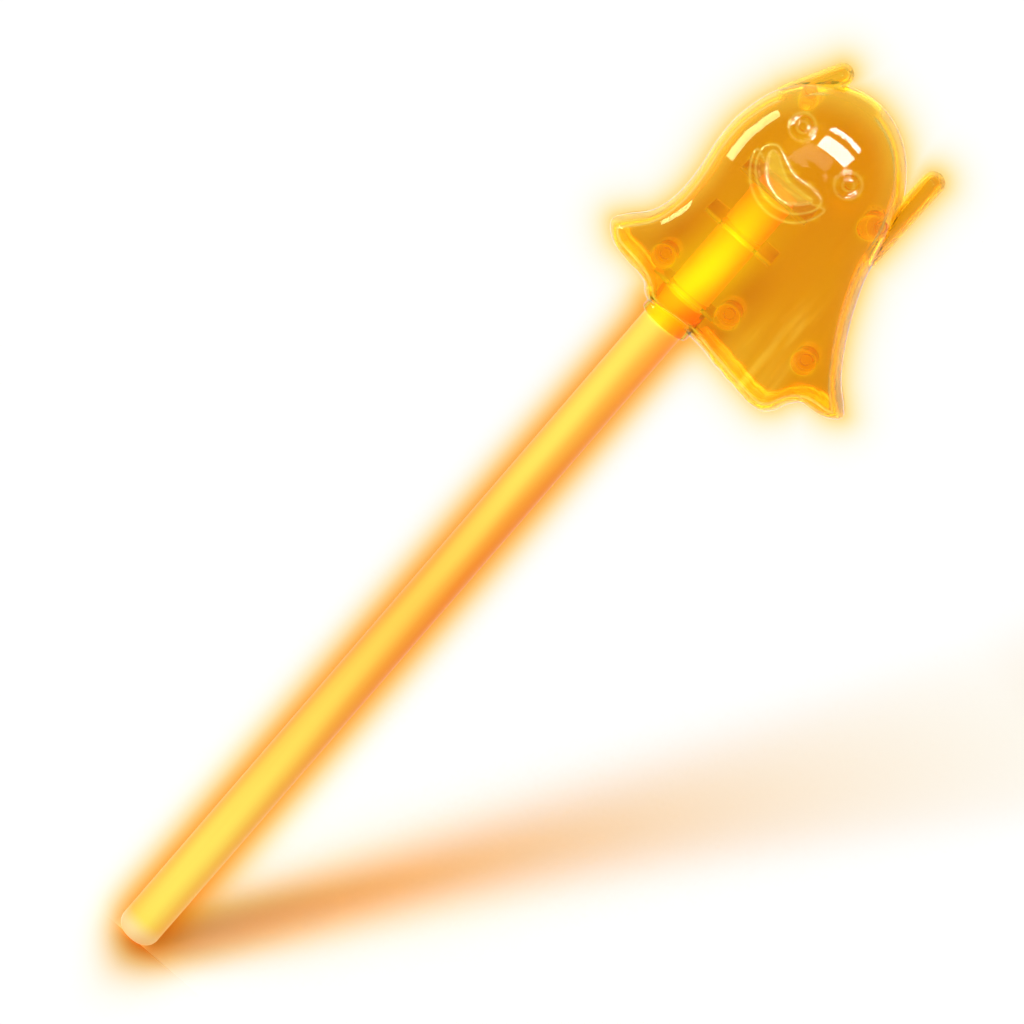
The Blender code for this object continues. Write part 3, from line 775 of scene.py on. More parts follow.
def zipped(points, spine, index):
    """Triangles that close the last ring over the spine, from one end of it to the other."""
    run = spine[1] - spine[0]
    along = (points - spine[0]) @ run
    count = len(points)
    bottom, top = int(np.argmin(along)), int(np.argmax(along))
    sides = []
    for step in (1, -1):
        chain = [bottom]
        while chain[-1] != top:
            chain.append((chain[-1] + step) % count)
        sides.append(chain)
    left, right = sides
    i = j = 0
    faces = []
    while i + 1 < len(left) or j + 1 < len(right):
        go_left = j + 1 == len(right) or (i + 1 < len(left) and along[left[i + 1]] < along[right[j + 1]])
        corner = left[i + 1] if go_left else right[j + 1]
        face = [left[i], right[j], corner]
        if len(set(face)) == 3:
            faces.append([int(index[vertex]) for vertex in face])
        i, j = (i + 1, j) if go_left else (i, j + 1)
    return faces


def blank(name, form, side, inset=0.0, relief=False, beyond=BEYOND):
    """A closed half form with a flat back that stands past the parting plane."""
    rings = skin_points(form, side, inset, relief, 0.0)
    back = rings[0].copy()
    back[:, 1] = -side * beyond
    rings = np.concatenate([back[None], rings])
    count, around = rings.shape[:2]
    index = np.arange(count * around).reshape(count, around)
    after = np.roll(index, -1, axis=1)
    quads = np.stack([index[:-1], after[:-1], after[1:], index[1:]], axis=-1).reshape(-1, 4).tolist()
    faces = quads + [index[0].tolist()] + zipped(rings[-1][:, [0, 2]], form["spine"], index[-1])
    obj = add_mesh(name, rings.reshape(-1, 3) * MM + np.array([0.0, 0.0, COLLAR_LOW * MM]), faces)
    bm = bmesh.new()
    bm.from_mesh(obj.data)
    bm.normal_update()
    bmesh.ops.triangulate(bm, faces=[face for face in bm.faces if len(face.verts) > 4])
    bmesh.ops.recalc_face_normals(bm, faces=bm.faces)
    return write_mesh(bm, obj)


def column(name, centre, radius, near, far, sides=POST_SIDES):
    """A cylinder along Y, or about the stick's axis if centre is None and near and far are heights."""
    bm = bmesh.new()
    length = abs(far - near)
    bmesh.ops.create_cone(bm, cap_ends=True, segments=sides, radius1=radius, radius2=radius, depth=length)
    middle = (near + far) / 2
    if centre is None:
        place = Matrix.Translation((0.0, 0.0, middle + COLLAR_LOW))
    else:
        place = Matrix.Translation((centre[0], middle, centre[1] + COLLAR_LOW))
        place = place @ Matrix.Rotation(math.pi / 2, 4, "X")
    bmesh.ops.transform(bm, matrix=Matrix.Scale(MM, 4) @ place, verts=bm.verts)
    bmesh.ops.recalc_face_normals(bm, faces=bm.faces)
    return write_mesh(bm, add_mesh(name, [], []))


def block(name, low, high):
    """A box between two corners, with heights over the collar's lower edge."""
    bm = bmesh.new()
    bmesh.ops.create_cube(bm, size=1.0)
    middle = (np.array(low) + np.array(high)) / 2 + np.array([0.0, 0.0, COLLAR_LOW])
    size = np.array(high) - np.array(low)
    bmesh.ops.scale(bm, vec=size * MM, verts=bm.verts)
    bmesh.ops.translate(bm, vec=middle * MM, verts=bm.verts)
    return write_mesh(bm, add_mesh(name, [], []))


def slab(name, side, near, far, half_width, low, high):
    """A block on one side of the parting plane, from near to far away from it."""
    ends = sorted((side * near, side * far))
    return block(name, (-half_width, ends[0], low), (half_width, ends[1], high))


def collar_profile():
    """A solid plug of the collar's size, with a rounded lower edge."""
    low = COLLAR_LOW + COLLAR_CORNER
    profile = [(0.0, COLLAR_LOW)] + arc((COLLAR_RADIUS - COLLAR_CORNER, low), COLLAR_CORNER, -90, 0, 8)
    return profile + [(COLLAR_RADIUS, COLLAR_LOW + COLLAR_HEIGHT), (0.0, COLLAR_LOW + COLLAR_HEIGHT)]


def make_half(name, side, steps, rings, tree, material):
    """One half of the ghost: skin, less the hollow with its posts, ribs and collar, and less the stick."""
    shell = blank(name, form_of("body", side, steps, rings), side, relief=True)
    for label in ARMS:
        arm = blank(label, form_of(label, side, *ARM_SKIN), side, beyond=1.5 * BEYOND)
        combine(shell, arm, "UNION")
    combine(shell, turned("collar", collar_profile(), tree, material), "UNION")
    body = form_of("body", side, HOLLOW_STEPS, HOLLOW_RINGS)
    hollow = blank("hollow", body, side, SHELL_WALL, beyond=2 * BEYOND)
    for label in ARMS:
        arm = blank(label, form_of(label, side, *ARM_HOLLOW), side, SHELL_WALL, beyond=2.5 * BEYOND)
        combine(hollow, arm, "UNION")
    for x, z, radius in POSTS:
        combine(hollow, column("post", (x, z), radius, 0.0, side * REACH), "DIFFERENCE")
    for height in RIB_HEIGHTS:
        low = height - RIB_THICKNESS / 2
        web = slab("rib", side, 0.0, REACH, RIB_HALF_WIDTH, low, low + RIB_THICKNESS)
        combine(hollow, web, "DIFFERENCE")
    combine(hollow, column("sleeve", None, COLLAR_RADIUS, -BEYOND, COLLAR_HEIGHT, ROUND_SIDES), "DIFFERENCE")
    combine(shell, hollow, "DIFFERENCE")
    passage = column("passage", None, STICK_BORE, -BEYOND, INSERTION + SEAT_GAP, ROUND_SIDES)
    combine(shell, passage, "DIFFERENCE")
    combine(shell, slab("past_plane", side, SEAT_GAP / 2, -REACH, REACH, -REACH, REACH), "DIFFERENCE")
    for x, z, _ in POSTS:
        if side < 0:
            combine(shell, column("pin", (x, z), PIN_RADIUS, -BEYOND, PIN_LENGTH), "UNION")
        else:
            bore = column("socket", (x, z), PIN_RADIUS + PIN_FIT, -BEYOND, PIN_LENGTH + SEAT_GAP)
            combine(shell, bore, "DIFFERENCE")
    smooth(shell, 40.0)
    return shell


# Shader helpers


def feed(tree, slot, value):
    """Links a socket into a slot, or sets the slot to a number or colour."""
    if isinstance(value, bpy.types.NodeSocket):
        tree.links.new(value, slot)
    else:
        slot.default_value = value


def calc(tree, operation, *values, clamp=False):
    """A Math node on sockets or numbers."""
    node = tree.nodes.new("ShaderNodeMath")
    node.operation = operation
    node.use_clamp = clamp
    for slot, value in zip(node.inputs, values):
        feed(tree, slot, value)
    return node.outputs[0]


def set_all_over(shader, values):
    """Sets the shader's sockets that are the same all over the surface."""
    for label, value in values.items():
        shader.inputs[label].default_value = value


def mix_color(tree, share, first, second):
    node = tree.nodes.new("ShaderNodeMix")
    node.data_type = "RGBA"
    feed(tree, node.inputs[0], share)
    feed(tree, node.inputs[6], first)
    feed(tree, node.inputs[7], second)
    return node.outputs[2]


def scale_color(tree, color, factor):
    """A colour times a number."""
    node = tree.nodes.new("ShaderNodeVectorMath")
    node.operation = "SCALE"
    feed(tree, node.inputs[0], color if isinstance(color, bpy.types.NodeSocket) else color[:3])
    feed(tree, node.inputs["Scale"], factor)
    return node.outputs[0]


def add_colors(tree, first, second):
    node = tree.nodes.new("ShaderNodeVectorMath")
    node.operation = "ADD"
    feed(tree, node.inputs[0], first)
    feed(tree, node.inputs[1], second)
    return node.outputs[0]


def new_group(name, inputs, outputs):
    """A shader group with named inputs, each with its kind and its value, and named outputs."""
    tree = bpy.data.node_groups.new(name, "ShaderNodeTree")
    for label, kind, value in inputs:
        socket = tree.interface.new_socket(label, in_out="INPUT", socket_type=kind)
        if value is not None:
            socket.default_value = value
    for label, kind in outputs:
        tree.interface.new_socket(label, in_out="OUTPUT", socket_type=kind)
    return tree, tree.nodes.new("NodeGroupInput").outputs, tree.nodes.new("NodeGroupOutput").inputs


def use_group(tree, group, **values):
    """Places a group in a material, with its inputs by name, and returns its outputs."""
    node = tree.nodes.new("ShaderNodeGroup")
    node.node_tree = group
    for label, value in values.items():
        feed(tree, node.inputs[label.replace("_", " ").title()], value)
    return node.outputs


FLOAT = "NodeSocketFloat"
VECTOR = "NodeSocketVector"
COLOR = "NodeSocketColor"


def soft_band_group():
    """1 at the middle of a band, falling away smoothly to 0 on both sides of it."""
    tree, entry, leave = new_group(
        "soft_band", [("Value", FLOAT, 0.0), ("Middle", FLOAT, 0.0), ("Width", FLOAT, 1.0)], [("Mask", FLOAT)]
    )
    away = calc(tree, "DIVIDE", calc(tree, "SUBTRACT", entry["Value"], entry["Middle"]), entry["Width"])
    square = calc(tree, "MULTIPLY", away, away)
    feed(tree, leave["Mask"], calc(tree, "EXPONENT", calc(tree, "MULTIPLY", square, -1.0)))
    return tree


def fade_group():
    """0 below the low value, 1 above the high one, and smooth between them."""
    tree, entry, leave = new_group(
        "fade", [("Value", FLOAT, 0.0), ("Low", FLOAT, 0.0), ("High", FLOAT, 1.0)], [("Mask", FLOAT)]
    )
    node = tree.nodes.new("ShaderNodeMapRange")
    node.interpolation_type = "SMOOTHSTEP"
    for slot, label in ((0, "Value"), (1, "Low"), (2, "High")):
        feed(tree, node.inputs[slot], entry[label])
    feed(tree, leave["Mask"], node.outputs[0])
    return tree


def round_spot_group():
    """1 inside a circle drawn on the front, with a soft edge, and 1 along the circle itself."""
    tree, entry, leave = new_group(
        "round_spot",
        [(label, FLOAT, 0.0) for label in ("Across", "Height", "X", "Z")] + [("Radius", FLOAT, 1.0)],
        [("Mask", FLOAT), ("Ring", FLOAT)],
    )
    dx = calc(tree, "SUBTRACT", entry["Across"], entry["X"])
    dz = calc(tree, "SUBTRACT", entry["Height"], entry["Z"])
    square = calc(tree, "ADD", calc(tree, "MULTIPLY", dx, dx), calc(tree, "MULTIPLY", dz, dz))
    away = calc(tree, "SQRT", square)
    inside = calc(tree, "SUBTRACT", entry["Radius"], away)
    feed(tree, leave["Mask"], calc(tree, "MULTIPLY_ADD", inside, SPOT_EDGE, 0.5, clamp=True))
    away = calc(tree, "MULTIPLY", calc(tree, "ABSOLUTE", inside), -SPOT_RING)
    feed(tree, leave["Ring"], calc(tree, "EXPONENT", away))
    return tree


def moulded_group():
    """The slight ripple, drawn along Z, and the haze of a moulded plastic surface."""
    tree, entry, leave = new_group(
        "moulded_surface",
        [("Vector", VECTOR, None), ("Ripple", FLOAT, 120.0), ("Stretch", FLOAT, 0.3), ("Haze", FLOAT, 0.03)],
        [("Height", FLOAT), ("Tone", FLOAT), ("Haze", FLOAT)],
    )
    scale = tree.nodes.new("ShaderNodeCombineXYZ")
    feed(tree, scale.inputs[0], 1.0)
    feed(tree, scale.inputs[1], 1.0)
    feed(tree, scale.inputs[2], entry["Stretch"])
    drawn = tree.nodes.new("ShaderNodeVectorMath")
    drawn.operation = "MULTIPLY"
    feed(tree, drawn.inputs[0], entry["Vector"])
    feed(tree, drawn.inputs[1], scale.outputs[0])
    noises = []
    for detail, factor in ((2.0, 1.0), (4.0, 6.0)):
        noise = tree.nodes.new("ShaderNodeTexNoise")
        feed(tree, noise.inputs["Vector"], drawn.outputs[0])
        feed(tree, noise.inputs["Scale"], calc(tree, "MULTIPLY", entry["Ripple"], factor))
        noise.inputs["Detail"].default_value = detail
        noises.append(noise.outputs[0])
    feed(tree, leave["Height"], calc(tree, "MULTIPLY_ADD", noises[1], 0.15, noises[0]))
    feed(tree, leave["Tone"], calc(tree, "SUBTRACT", noises[0], 0.5))
    feed(tree, leave["Haze"], calc(tree, "MULTIPLY_ADD", noises[1], entry["Haze"], entry["Haze"]))
    return tree


def fade_over(tree, fade, value, base, heights):
    """A fade from 0 at the first height over the base to 1 at the second."""
    low, high = heights
    return use_group(tree, fade, value=value, low=base + low, high=base + high)[0]


def stick_light_group(band, fade):
    """The glow across the stick, brightest left of its middle, cream at the tail and hot inside the ghost."""
    tree, entry, leave = new_group(
        "stick_light",
        [("X", FLOAT, 0.0), ("Z", FLOAT, 0.0), ("Tone", FLOAT, 0.0)],
        [("Color", COLOR), ("Inside", FLOAT)],
    )
    x, z = entry["X"], entry["Z"]
    low_end = fade_over(tree, fade, z, TAIL, LOW_GLOW)
    high_end = fade_over(tree, fade, z, TAIL, HIGH_GLOW)
    ends = calc(tree, "MAXIMUM", low_end, calc(tree, "MULTIPLY", high_end, HIGH_GLOW_SHARE))
    width = calc(tree, "ADD", calc(tree, "MULTIPLY_ADD", low_end, GLOW_WIDER_LOW, GLOW_WIDTH), high_end)
    middle = calc(tree, "MULTIPLY_ADD", low_end, GLOW_SHIFT_LOW, GLOW_MIDDLE)
    middle = calc(tree, "MULTIPLY_ADD", high_end, GLOW_SHIFT_HIGH, middle)
    bright = use_group(tree, band, value=x, middle=middle, width=width)[0]
    bright = calc(tree, "MULTIPLY", bright, calc(tree, "MULTIPLY_ADD", ends, GLOW_ENDS, GLOW_LEAST))
    bright = calc(tree, "MULTIPLY_ADD", entry["Tone"], TONE_SHARE, bright, clamp=True)
    color = mix_color(tree, bright, CORE_ORANGE, CORE_YELLOW)
    tail = fade_over(tree, fade, z, TAIL, TAIL_GLOW)
    cream = use_group(tree, band, value=x, middle=CREAM_MIDDLE, width=CREAM_WIDTH)[0]
    color = mix_color(tree, tail, color, mix_color(tree, cream, TAIL_EDGE, TAIL_CREAM))
    lean = fade_over(tree, fade, z, COLLAR_LOW, INNER_LEAN)
    lean = calc(tree, "MULTIPLY_ADD", lean, INNER_SHIFT, INNER_MIDDLE)
    core = use_group(tree, band, value=x, middle=lean, width=INNER_WIDTH)[0]
    top = fade_over(tree, fade, z, COLLAR_LOW, INNER_TOP)
    core = mix_color(tree, calc(tree, "MULTIPLY", core, top), INNER_AMBER, INNER_YELLOW)
    inside = fade_over(tree, fade, z, COLLAR_LOW, INSIDE_START)
    feed(tree, leave["Color"], mix_color(tree, inside, color, core))
    feed(tree, leave["Inside"], inside)
    return tree


def part_coordinates(tree):
    """Object coordinates: the vector, and its X, Y and Z in millimetres."""
    vector = tree.nodes.new("ShaderNodeTexCoord").outputs["Object"]
    split = tree.nodes.new("ShaderNodeSeparateXYZ")
    feed(tree, split.inputs[0], vector)
    return vector, *(calc(tree, "DIVIDE", axis, MM) for axis in split.outputs)


def new_material(name):
    material = bpy.data.materials.new(name)
    material.use_nodes = True
    tree = material.node_tree
    return material, tree, tree.nodes["Principled BSDF"]


def moulded_surface(tree, groups, vector, name):
    """The height, tone and haze of one of the moulded surfaces."""
    ripple, stretch, haze = MOULDED[name]
    return use_group(tree, groups["moulded"], vector=vector, ripple=ripple, stretch=stretch, haze=haze)


def finish_surface(tree, shader, moulded, name):
    """Roughens the surface with its haze, and bumps it with its ripple."""
    rough, distance, strength = FINISHES[name]
    feed(tree, shader.inputs["Roughness"], calc(tree, "ADD", moulded["Haze"], rough))
    node = tree.nodes.new("ShaderNodeBump")
    node.inputs["Distance"].default_value = distance * MM
    node.inputs["Strength"].default_value = strength
    feed(tree, node.inputs["Height"], moulded["Height"])
    feed(tree, shader.inputs["Normal"], node.outputs[0])


def show_clear(tree, shader, share, tint=CLEAR):
    """Shows the shader where the share is 0, and clear air with a tint where it is 1."""
    clear = tree.nodes.new("ShaderNodeBsdfTransparent")
    clear.inputs[0].default_value = (*tint, 1.0)
    mix = tree.nodes.new("ShaderNodeMixShader")
    for slot, value in zip(mix.inputs, (share, shader.outputs[0], clear.outputs[0])):
        feed(tree, slot, value)
    feed(tree, tree.nodes["Material Output"].inputs["Surface"], mix.outputs[0])


def let_light_through(tree, shader, tint):
    """Shadow rays pass, tinted, so that the wand throws a coloured shadow."""
    path = tree.nodes.new("ShaderNodeLightPath")
    show_clear(tree, shader, path.outputs["Is Shadow Ray"], tint)


def make_groups():
    band, fade = soft_band_group(), fade_group()
    return {
        "band": band,
        "fade": fade,
        "spot": round_spot_group(),
        "moulded": moulded_group(),
        "stick_light": stick_light_group(band, fade),
    }


def amber_light(tree, groups, coordinates, rings, marks, low):
    """Painted light on the amber: the core's glow, rings round the posts, lit edges and lit flow streaks."""
    vector, x, y, z = coordinates
    band, fade = groups["band"], groups["fade"]
    lean = fade_over(tree, fade, z, COLLAR_LOW, CORE_LEAN)
    middle = calc(tree, "MULTIPLY_ADD", lean, CORE_SHIFT, CORE_MIDDLE)
    core = use_group(tree, band, value=x, middle=middle, width=CORE_WIDTH)[0]
    depth = fade_over(tree, fade, calc(tree, "ABSOLUTE", y), 0.0, CORE_DEPTH)
    top = fade_over(tree, fade, z, COLLAR_LOW, CORE_TOP)
    bottom = fade_over(tree, fade, z, COLLAR_LOW, CORE_BOTTOM)
    ends = calc(tree, "MULTIPLY", top, bottom)
    core = calc(tree, "MULTIPLY", core, calc(tree, "MULTIPLY", depth, ends))
    glow = scale_color(tree, CORE_LIGHT, core)
    glow = add_colors(tree, glow, scale_color(tree, RING_LIGHT, rings))
    for name, light in MARK_LIGHTS.items():
        glow = add_colors(tree, glow, scale_color(tree, light, marks[name]))
    flow = moulded_surface(tree, groups, vector, "amber_flow")["Tone"]
    flow = calc(tree, "MULTIPLY_ADD", flow, *FLOW_GAIN, clamp=True)
    middle, width = FLOW_BAND
    across = use_group(tree, band, value=x, middle=middle, width=width)[0]
    flow = calc(tree, "MULTIPLY", calc(tree, "MULTIPLY", flow, across), low)
    return add_colors(tree, glow, scale_color(tree, FLOW_LIGHT, flow))


def amber_plastic(groups):
    """Clear amber, deeper at the posts, with painted shade beside the stick, painted light over it and on its
    moulded edges, and a painted rim sheen.
    """
    material, tree, shader = new_material("ghost_amber")
    coordinates = vector, x, _, z = part_coordinates(tree)
    moulded = moulded_surface(tree, groups, vector, "ghost_amber")
    posts, rings = 0.0, 0.0
    for place_x, place_z, radius in POSTS:
        spot = use_group(
            tree, groups["spot"], across=x, height=z, x=place_x, z=place_z + COLLAR_LOW, radius=radius
        )
        posts = calc(tree, "MAXIMUM", posts, spot["Mask"])
        rings = calc(tree, "MAXIMUM", rings, spot["Ring"])
    # Painted shade: bands beside the stick, low in the skirt, darken the amber.
    bands = [use_group(tree, groups["band"], value=x, middle=at, width=width)[0] for at, width in SHADE_BANDS]
    low = fade_over(tree, groups["fade"], z, COLLAR_LOW, SHADE_BAND_TOP)
    shade = calc(tree, "MULTIPLY", calc(tree, "ADD", *bands), low)
    streaks = calc(tree, "MULTIPLY_ADD", moulded["Tone"], *STREAK_GAIN, clamp=True)
    color = mix_color(tree, streaks, AMBER, AMBER_STREAK)
    color = mix_color(tree, shade, color, AMBER_SHADE)
    color = mix_color(tree, posts, color, AMBER_POST)
    marks = {}
    for name in MARK_LIGHTS:
        mark = tree.nodes.new("ShaderNodeAttribute")
        mark.attribute_name = name
        marks[name] = mark.outputs["Fac"]
    rim = marks["rim_light"]
    # Painted sheen at the rim: there the amber is less clear and takes the rim's olive-yellow.
    feed(tree, shader.inputs["Base Color"], mix_color(tree, rim, color, AMBER_RIM_SHEEN))
    feed(tree, shader.inputs["Transmission Weight"], calc(tree, "MULTIPLY_ADD", rim, -RIM_SHEEN_SHARE, 1.0))
    set_all_over(shader, {"IOR": 1.2, "Specular Tint": AMBER_GLOSS, "Emission Strength": 1.0})
    glow = amber_light(tree, groups, coordinates, rings, marks, low)
    feed(tree, shader.inputs["Emission Color"], glow)
    finish_surface(tree, shader, moulded, "ghost_amber")
    let_light_through(tree, shader, AMBER_THROUGH)
    return material


def lit_material(name, groups):
    """A material with its moulded surface and the stick's glow."""
    material, tree, shader = new_material(name)
    vector, x, _, z = part_coordinates(tree)
    moulded = moulded_surface(tree, groups, vector, name)
    light = use_group(tree, groups["stick_light"], x=x, z=z, tone=moulded["Tone"])
    return material, tree, shader, moulded, light


def tube_plastic(groups):
    """Satin translucent tube, lit from inside by the liquid."""
    material, tree, shader, moulded, light = lit_material("stick_plastic", groups)
    gain = calc(tree, "MULTIPLY_ADD", light["Inside"], TUBE_GAIN_INSIDE, TUBE_GAIN)
    feed(tree, shader.inputs["Base Color"], scale_color(tree, light["Color"], TUBE_SHARE))
    feed(tree, shader.inputs["Emission Color"], scale_color(tree, light["Color"], gain))
    set_all_over(shader, {"Emission Strength": 1.0, "Specular IOR Level": 0.2})
    finish_surface(tree, shader, moulded, "stick_plastic")
    let_light_through(tree, shader, TUBE_THROUGH)
    return material


def plug_plastic(groups):
    """The tube's plastic again, a little hazier and dimmer."""
    material, tree, shader, moulded, light = lit_material("plug_plastic", groups)
    for label in ("Base Color", "Emission Color"):
        feed(tree, shader.inputs[label], scale_color(tree, light["Color"], PLUG_SHARE))
    set_all_over(shader, {"Emission Strength": 1.0, "Specular IOR Level": 0.2})
    finish_surface(tree, shader, moulded, "plug_plastic")
    let_light_through(tree, shader, PLUG_THROUGH)
    return material


def glowing_liquid(name, groups, gain):
    """A clear liquid that glows with the stick's own pattern."""
    material, tree, shader, _, light = lit_material(name, groups)
    for label in ("Base Color", "Emission Color"):
        feed(tree, shader.inputs[label], light["Color"])
    looks = {"Emission Strength": gain, "Roughness": 0.1, "Transmission Weight": 0.6, "IOR": 1.4}
    set_all_over(shader, looks)
    let_light_through(tree, shader, CLEAR)
    return material


def ampoule_glass(groups):
    """Thin clear glass with faint drawing marks."""
    material, tree, shader = new_material("ampoule_glass")
    moulded = moulded_surface(tree, groups, part_coordinates(tree)[0], "ampoule_glass")
    tint = mix_color(tree, calc(tree, "ADD", moulded["Tone"], 0.5), *GLASS_TINTS)
    feed(tree, shader.inputs["Base Color"], tint)
    set_all_over(shader, {"Transmission Weight": 1.0, "IOR": 1.5})
    finish_surface(tree, shader, moulded, "ampoule_glass")
    let_light_through(tree, shader, CLEAR)
    return material


# Stage


def front_tint(tree, x, y):
    """The halo's and the contact shadow's tint on the floor in front of the card."""
    ahead = calc(tree, "LESS_THAN", y, -HALO_PLANE)
    up = calc(tree, "MULTIPLY", y, math.sin(CAMERA_RISE))
    up = calc(tree, "MINIMUM", calc(tree, "MAXIMUM", up, FLOOR_GLOW_END), 0.0)
    strength, reach = STICK_HALO
    share = calc(tree, "DIVIDE", x, reach)
    halo = calc(tree, "EXPONENT", calc(tree, "MULTIPLY", calc(tree, "MULTIPLY", share, share), -1.0))
    fade = calc(tree, "EXPONENT", calc(tree, "DIVIDE", calc(tree, "SUBTRACT", TAIL_MIDDLE, up), TAIL_FADE))
    halo = calc(tree, "MULTIPLY", calc(tree, "DIVIDE", halo, calc(tree, "ADD", fade, 1.0)), -strength)
    across = calc(tree, "SUBTRACT", x, SHADE_SHIFT)
    left, right = CONTACT_REACH
    reach = calc(tree, "MULTIPLY_ADD", calc(tree, "GREATER_THAN", across, 0.0), right - left, left)
    across = calc(tree, "DIVIDE", across, reach)
    square = calc(tree, "MULTIPLY", across, across)
    contact = calc(tree, "EXPONENT", calc(tree, "SUBTRACT", calc(tree, "DIVIDE", up, CONTACT_FADE), square))
    depth = calc(tree, "MULTIPLY_ADD", contact, -CONTACT_DEPTH, halo)
    depth = calc(tree, "MULTIPLY", depth, ahead)
    tint = tree.nodes.new("ShaderNodeCombineColor")
    for slot, weight in zip(tint.inputs, CONTACT_TINT):
        feed(tree, slot, calc(tree, "EXPONENT", calc(tree, "MULTIPLY", depth, weight)))
    return tint.outputs[0]


def make_floor():
    """A plain pale floor under the tail's end, clear from below, with a painted glow and a painted contact
    shadow in front of the tail.
    """
    half = FLOOR_SIZE / 2
    corners = [(-half, -half), (half, -half), (half, half), (-half, half)]
    floor = add_mesh("floor", [(x, y, TAIL * MM) for x, y in corners], [(0, 1, 2, 3)])
    material, tree, shader = new_material("floor")
    _, x, y, _ = part_coordinates(tree)
    feed(tree, shader.inputs["Base Color"], scale_color(tree, front_tint(tree, x, y), FLOOR_WHITE))
    set_all_over(shader, {"Roughness": 0.9, "Specular IOR Level": 0.0})
    show_clear(tree, shader, tree.nodes.new("ShaderNodeNewGeometry").outputs["Backfacing"])
    floor.data.materials.append(material)
    return floor


def halo_card(name, low, high, plane, halo, shade):
    """A card near the parting plane with the halo's tint, and another tint for the shadow it throws."""
    across = np.arange(low[0], high[0] + HALO_STEP, HALO_STEP)
    up = np.arange(low[1], high[1] + HALO_STEP, HALO_STEP)
    grid = np.stack(np.meshgrid(across, up, indexing="ij"), axis=-1).reshape(-1, 2)
    index = np.arange(len(grid)).reshape(len(across), len(up))
    quads = np.stack([index[:-1, :-1], index[1:, :-1], index[1:, 1:], index[:-1, 1:]], axis=-1)
    places = np.stack([grid[:, 0], np.full(len(grid), plane), grid[:, 1]], axis=1)
    card = add_mesh(name, places * MM, quads.reshape(-1, 4).tolist())
    card.visible_diffuse = card.visible_glossy = card.visible_transmission = False
    material, tree, _ = new_material(name)
    colors = []
    for label, tints in (("tint", halo(grid)), ("shade", shade(grid))):
        layer = card.data.color_attributes.new(name=label, type="FLOAT_COLOR", domain="POINT")
        layer.data.foreach_set("color", np.concatenate([tints, np.ones((len(grid), 1))], axis=1).ravel())
        node = tree.nodes.new("ShaderNodeAttribute")
        node.attribute_name = label
        colors.append(node.outputs["Color"])
    clear = tree.nodes.new("ShaderNodeBsdfTransparent")
    in_shadow = tree.nodes.new("ShaderNodeLightPath").outputs["Is Shadow Ray"]
    feed(tree, clear.inputs[0], mix_color(tree, in_shadow, *colors))
    feed(tree, tree.nodes["Material Output"].inputs["Surface"], clear.outputs[0])
    card.data.materials.append(material)
    return card


def stick_distance(grid):
    """How far a point is outside the stick's outline."""
    dx = np.maximum(np.abs(grid[:, 0]) - TOP_RADIUS, 0.0)
    dz = np.maximum(np.maximum(TAIL - grid[:, 1], grid[:, 1] - COLLAR_LOW), 0.0)
    return np.hypot(dx, dz)


def ghost_distance(grid):
    """How far a point is outside the ghost's outline."""
    local = grid - np.array([0.0, COLLAR_LOW])
    inside = signed_distance(local, closed_curve(OUTLINE, 4))
    for line, radii in ARMS.values():
        inside = np.maximum(inside, signed_distance(local, arm_outline(line, radii, 8)))
    return np.maximum(-inside, 0.0)


def blend_tints(share, away, near):
    """A row of three weights for each point: away where its share is 0, and near where it is 1."""
    return np.array(away) + share[:, None] * (np.array(near) - np.array(away))


def stick_halo(grid):
    """The tint of the glow round the bare stick, fading out past the tail's end."""
    height = grid[:, 1] - TAIL
    strength, reach = STICK_HALO
    depth = strength * np.exp(-(((TOP_RADIUS + stick_distance(grid)) / reach) ** 2))
    depth /= 1.0 + np.exp((TAIL_MIDDLE - height) / TAIL_FADE)
    depth *= np.minimum(ghost_distance(grid), 1.0)
    near = np.exp(-np.maximum(height, 0.0) / CONTACT_HALO)
    return np.exp(-depth[:, None] * blend_tints(near, STICK_HALO_TINT, CONTACT_TINT))


def stick_shade(grid):
    """The shadow's tint: beside the stick at its tail, behind it higher up, and weaker towards the ghost."""
    height = grid[:, 1] - TAIL
    across = grid[:, 0] - SHADE_SHIFT * (1.0 - smooth_step(height / SHADE_SHIFT_TOP))
    rise = smooth_step(height / SHADE_RISE)
    left, right = (near + rise * (far - near) for near, far in zip(CONTACT_REACH, SHADE_REACH))
    reach = np.where(across < 0.0, left, right)
    share, skirt = SHADE_SKIRT
    share = share * rise
    depth = np.exp(-((across / reach) ** 2)) * (1.0 - share) + np.exp(-((across / skirt) ** 2)) * share
    depth *= CONTACT_DEPTH + (SHADE_DEPTH - CONTACT_DEPTH) * smooth_step(height / SHADE_START)
    start, span = SHADE_LOSS_SPAN
    depth *= 1.0 - SHADE_LOSS * smooth_step((height - start) / span)
    near = np.exp(-np.maximum(height, 0.0) / CONTACT_RISE)
    return np.exp(-depth[:, None] * blend_tints(near, SHADE_TINT, CONTACT_TINT))


def ghost_halo(grid):
    """The tint of the glow round the ghost, which ends before the card does and leaves the stick out."""
    away = ghost_distance(grid)
    strength, reach = GHOST_HALO
    depth = strength * np.exp(-away / reach)
    depth *= smooth_step((HALO_MARGIN - away) / HALO_EDGE)
    depth *= np.minimum(stick_distance(grid) * 2.0, 1.0)
    return np.exp(-depth[:, None] * np.array(GHOST_HALO_TINT))


def ghost_shade(grid):
    """The ghost's shadow takes the same tint, much weaker."""
    return ghost_halo(grid) ** GHOST_SHADE


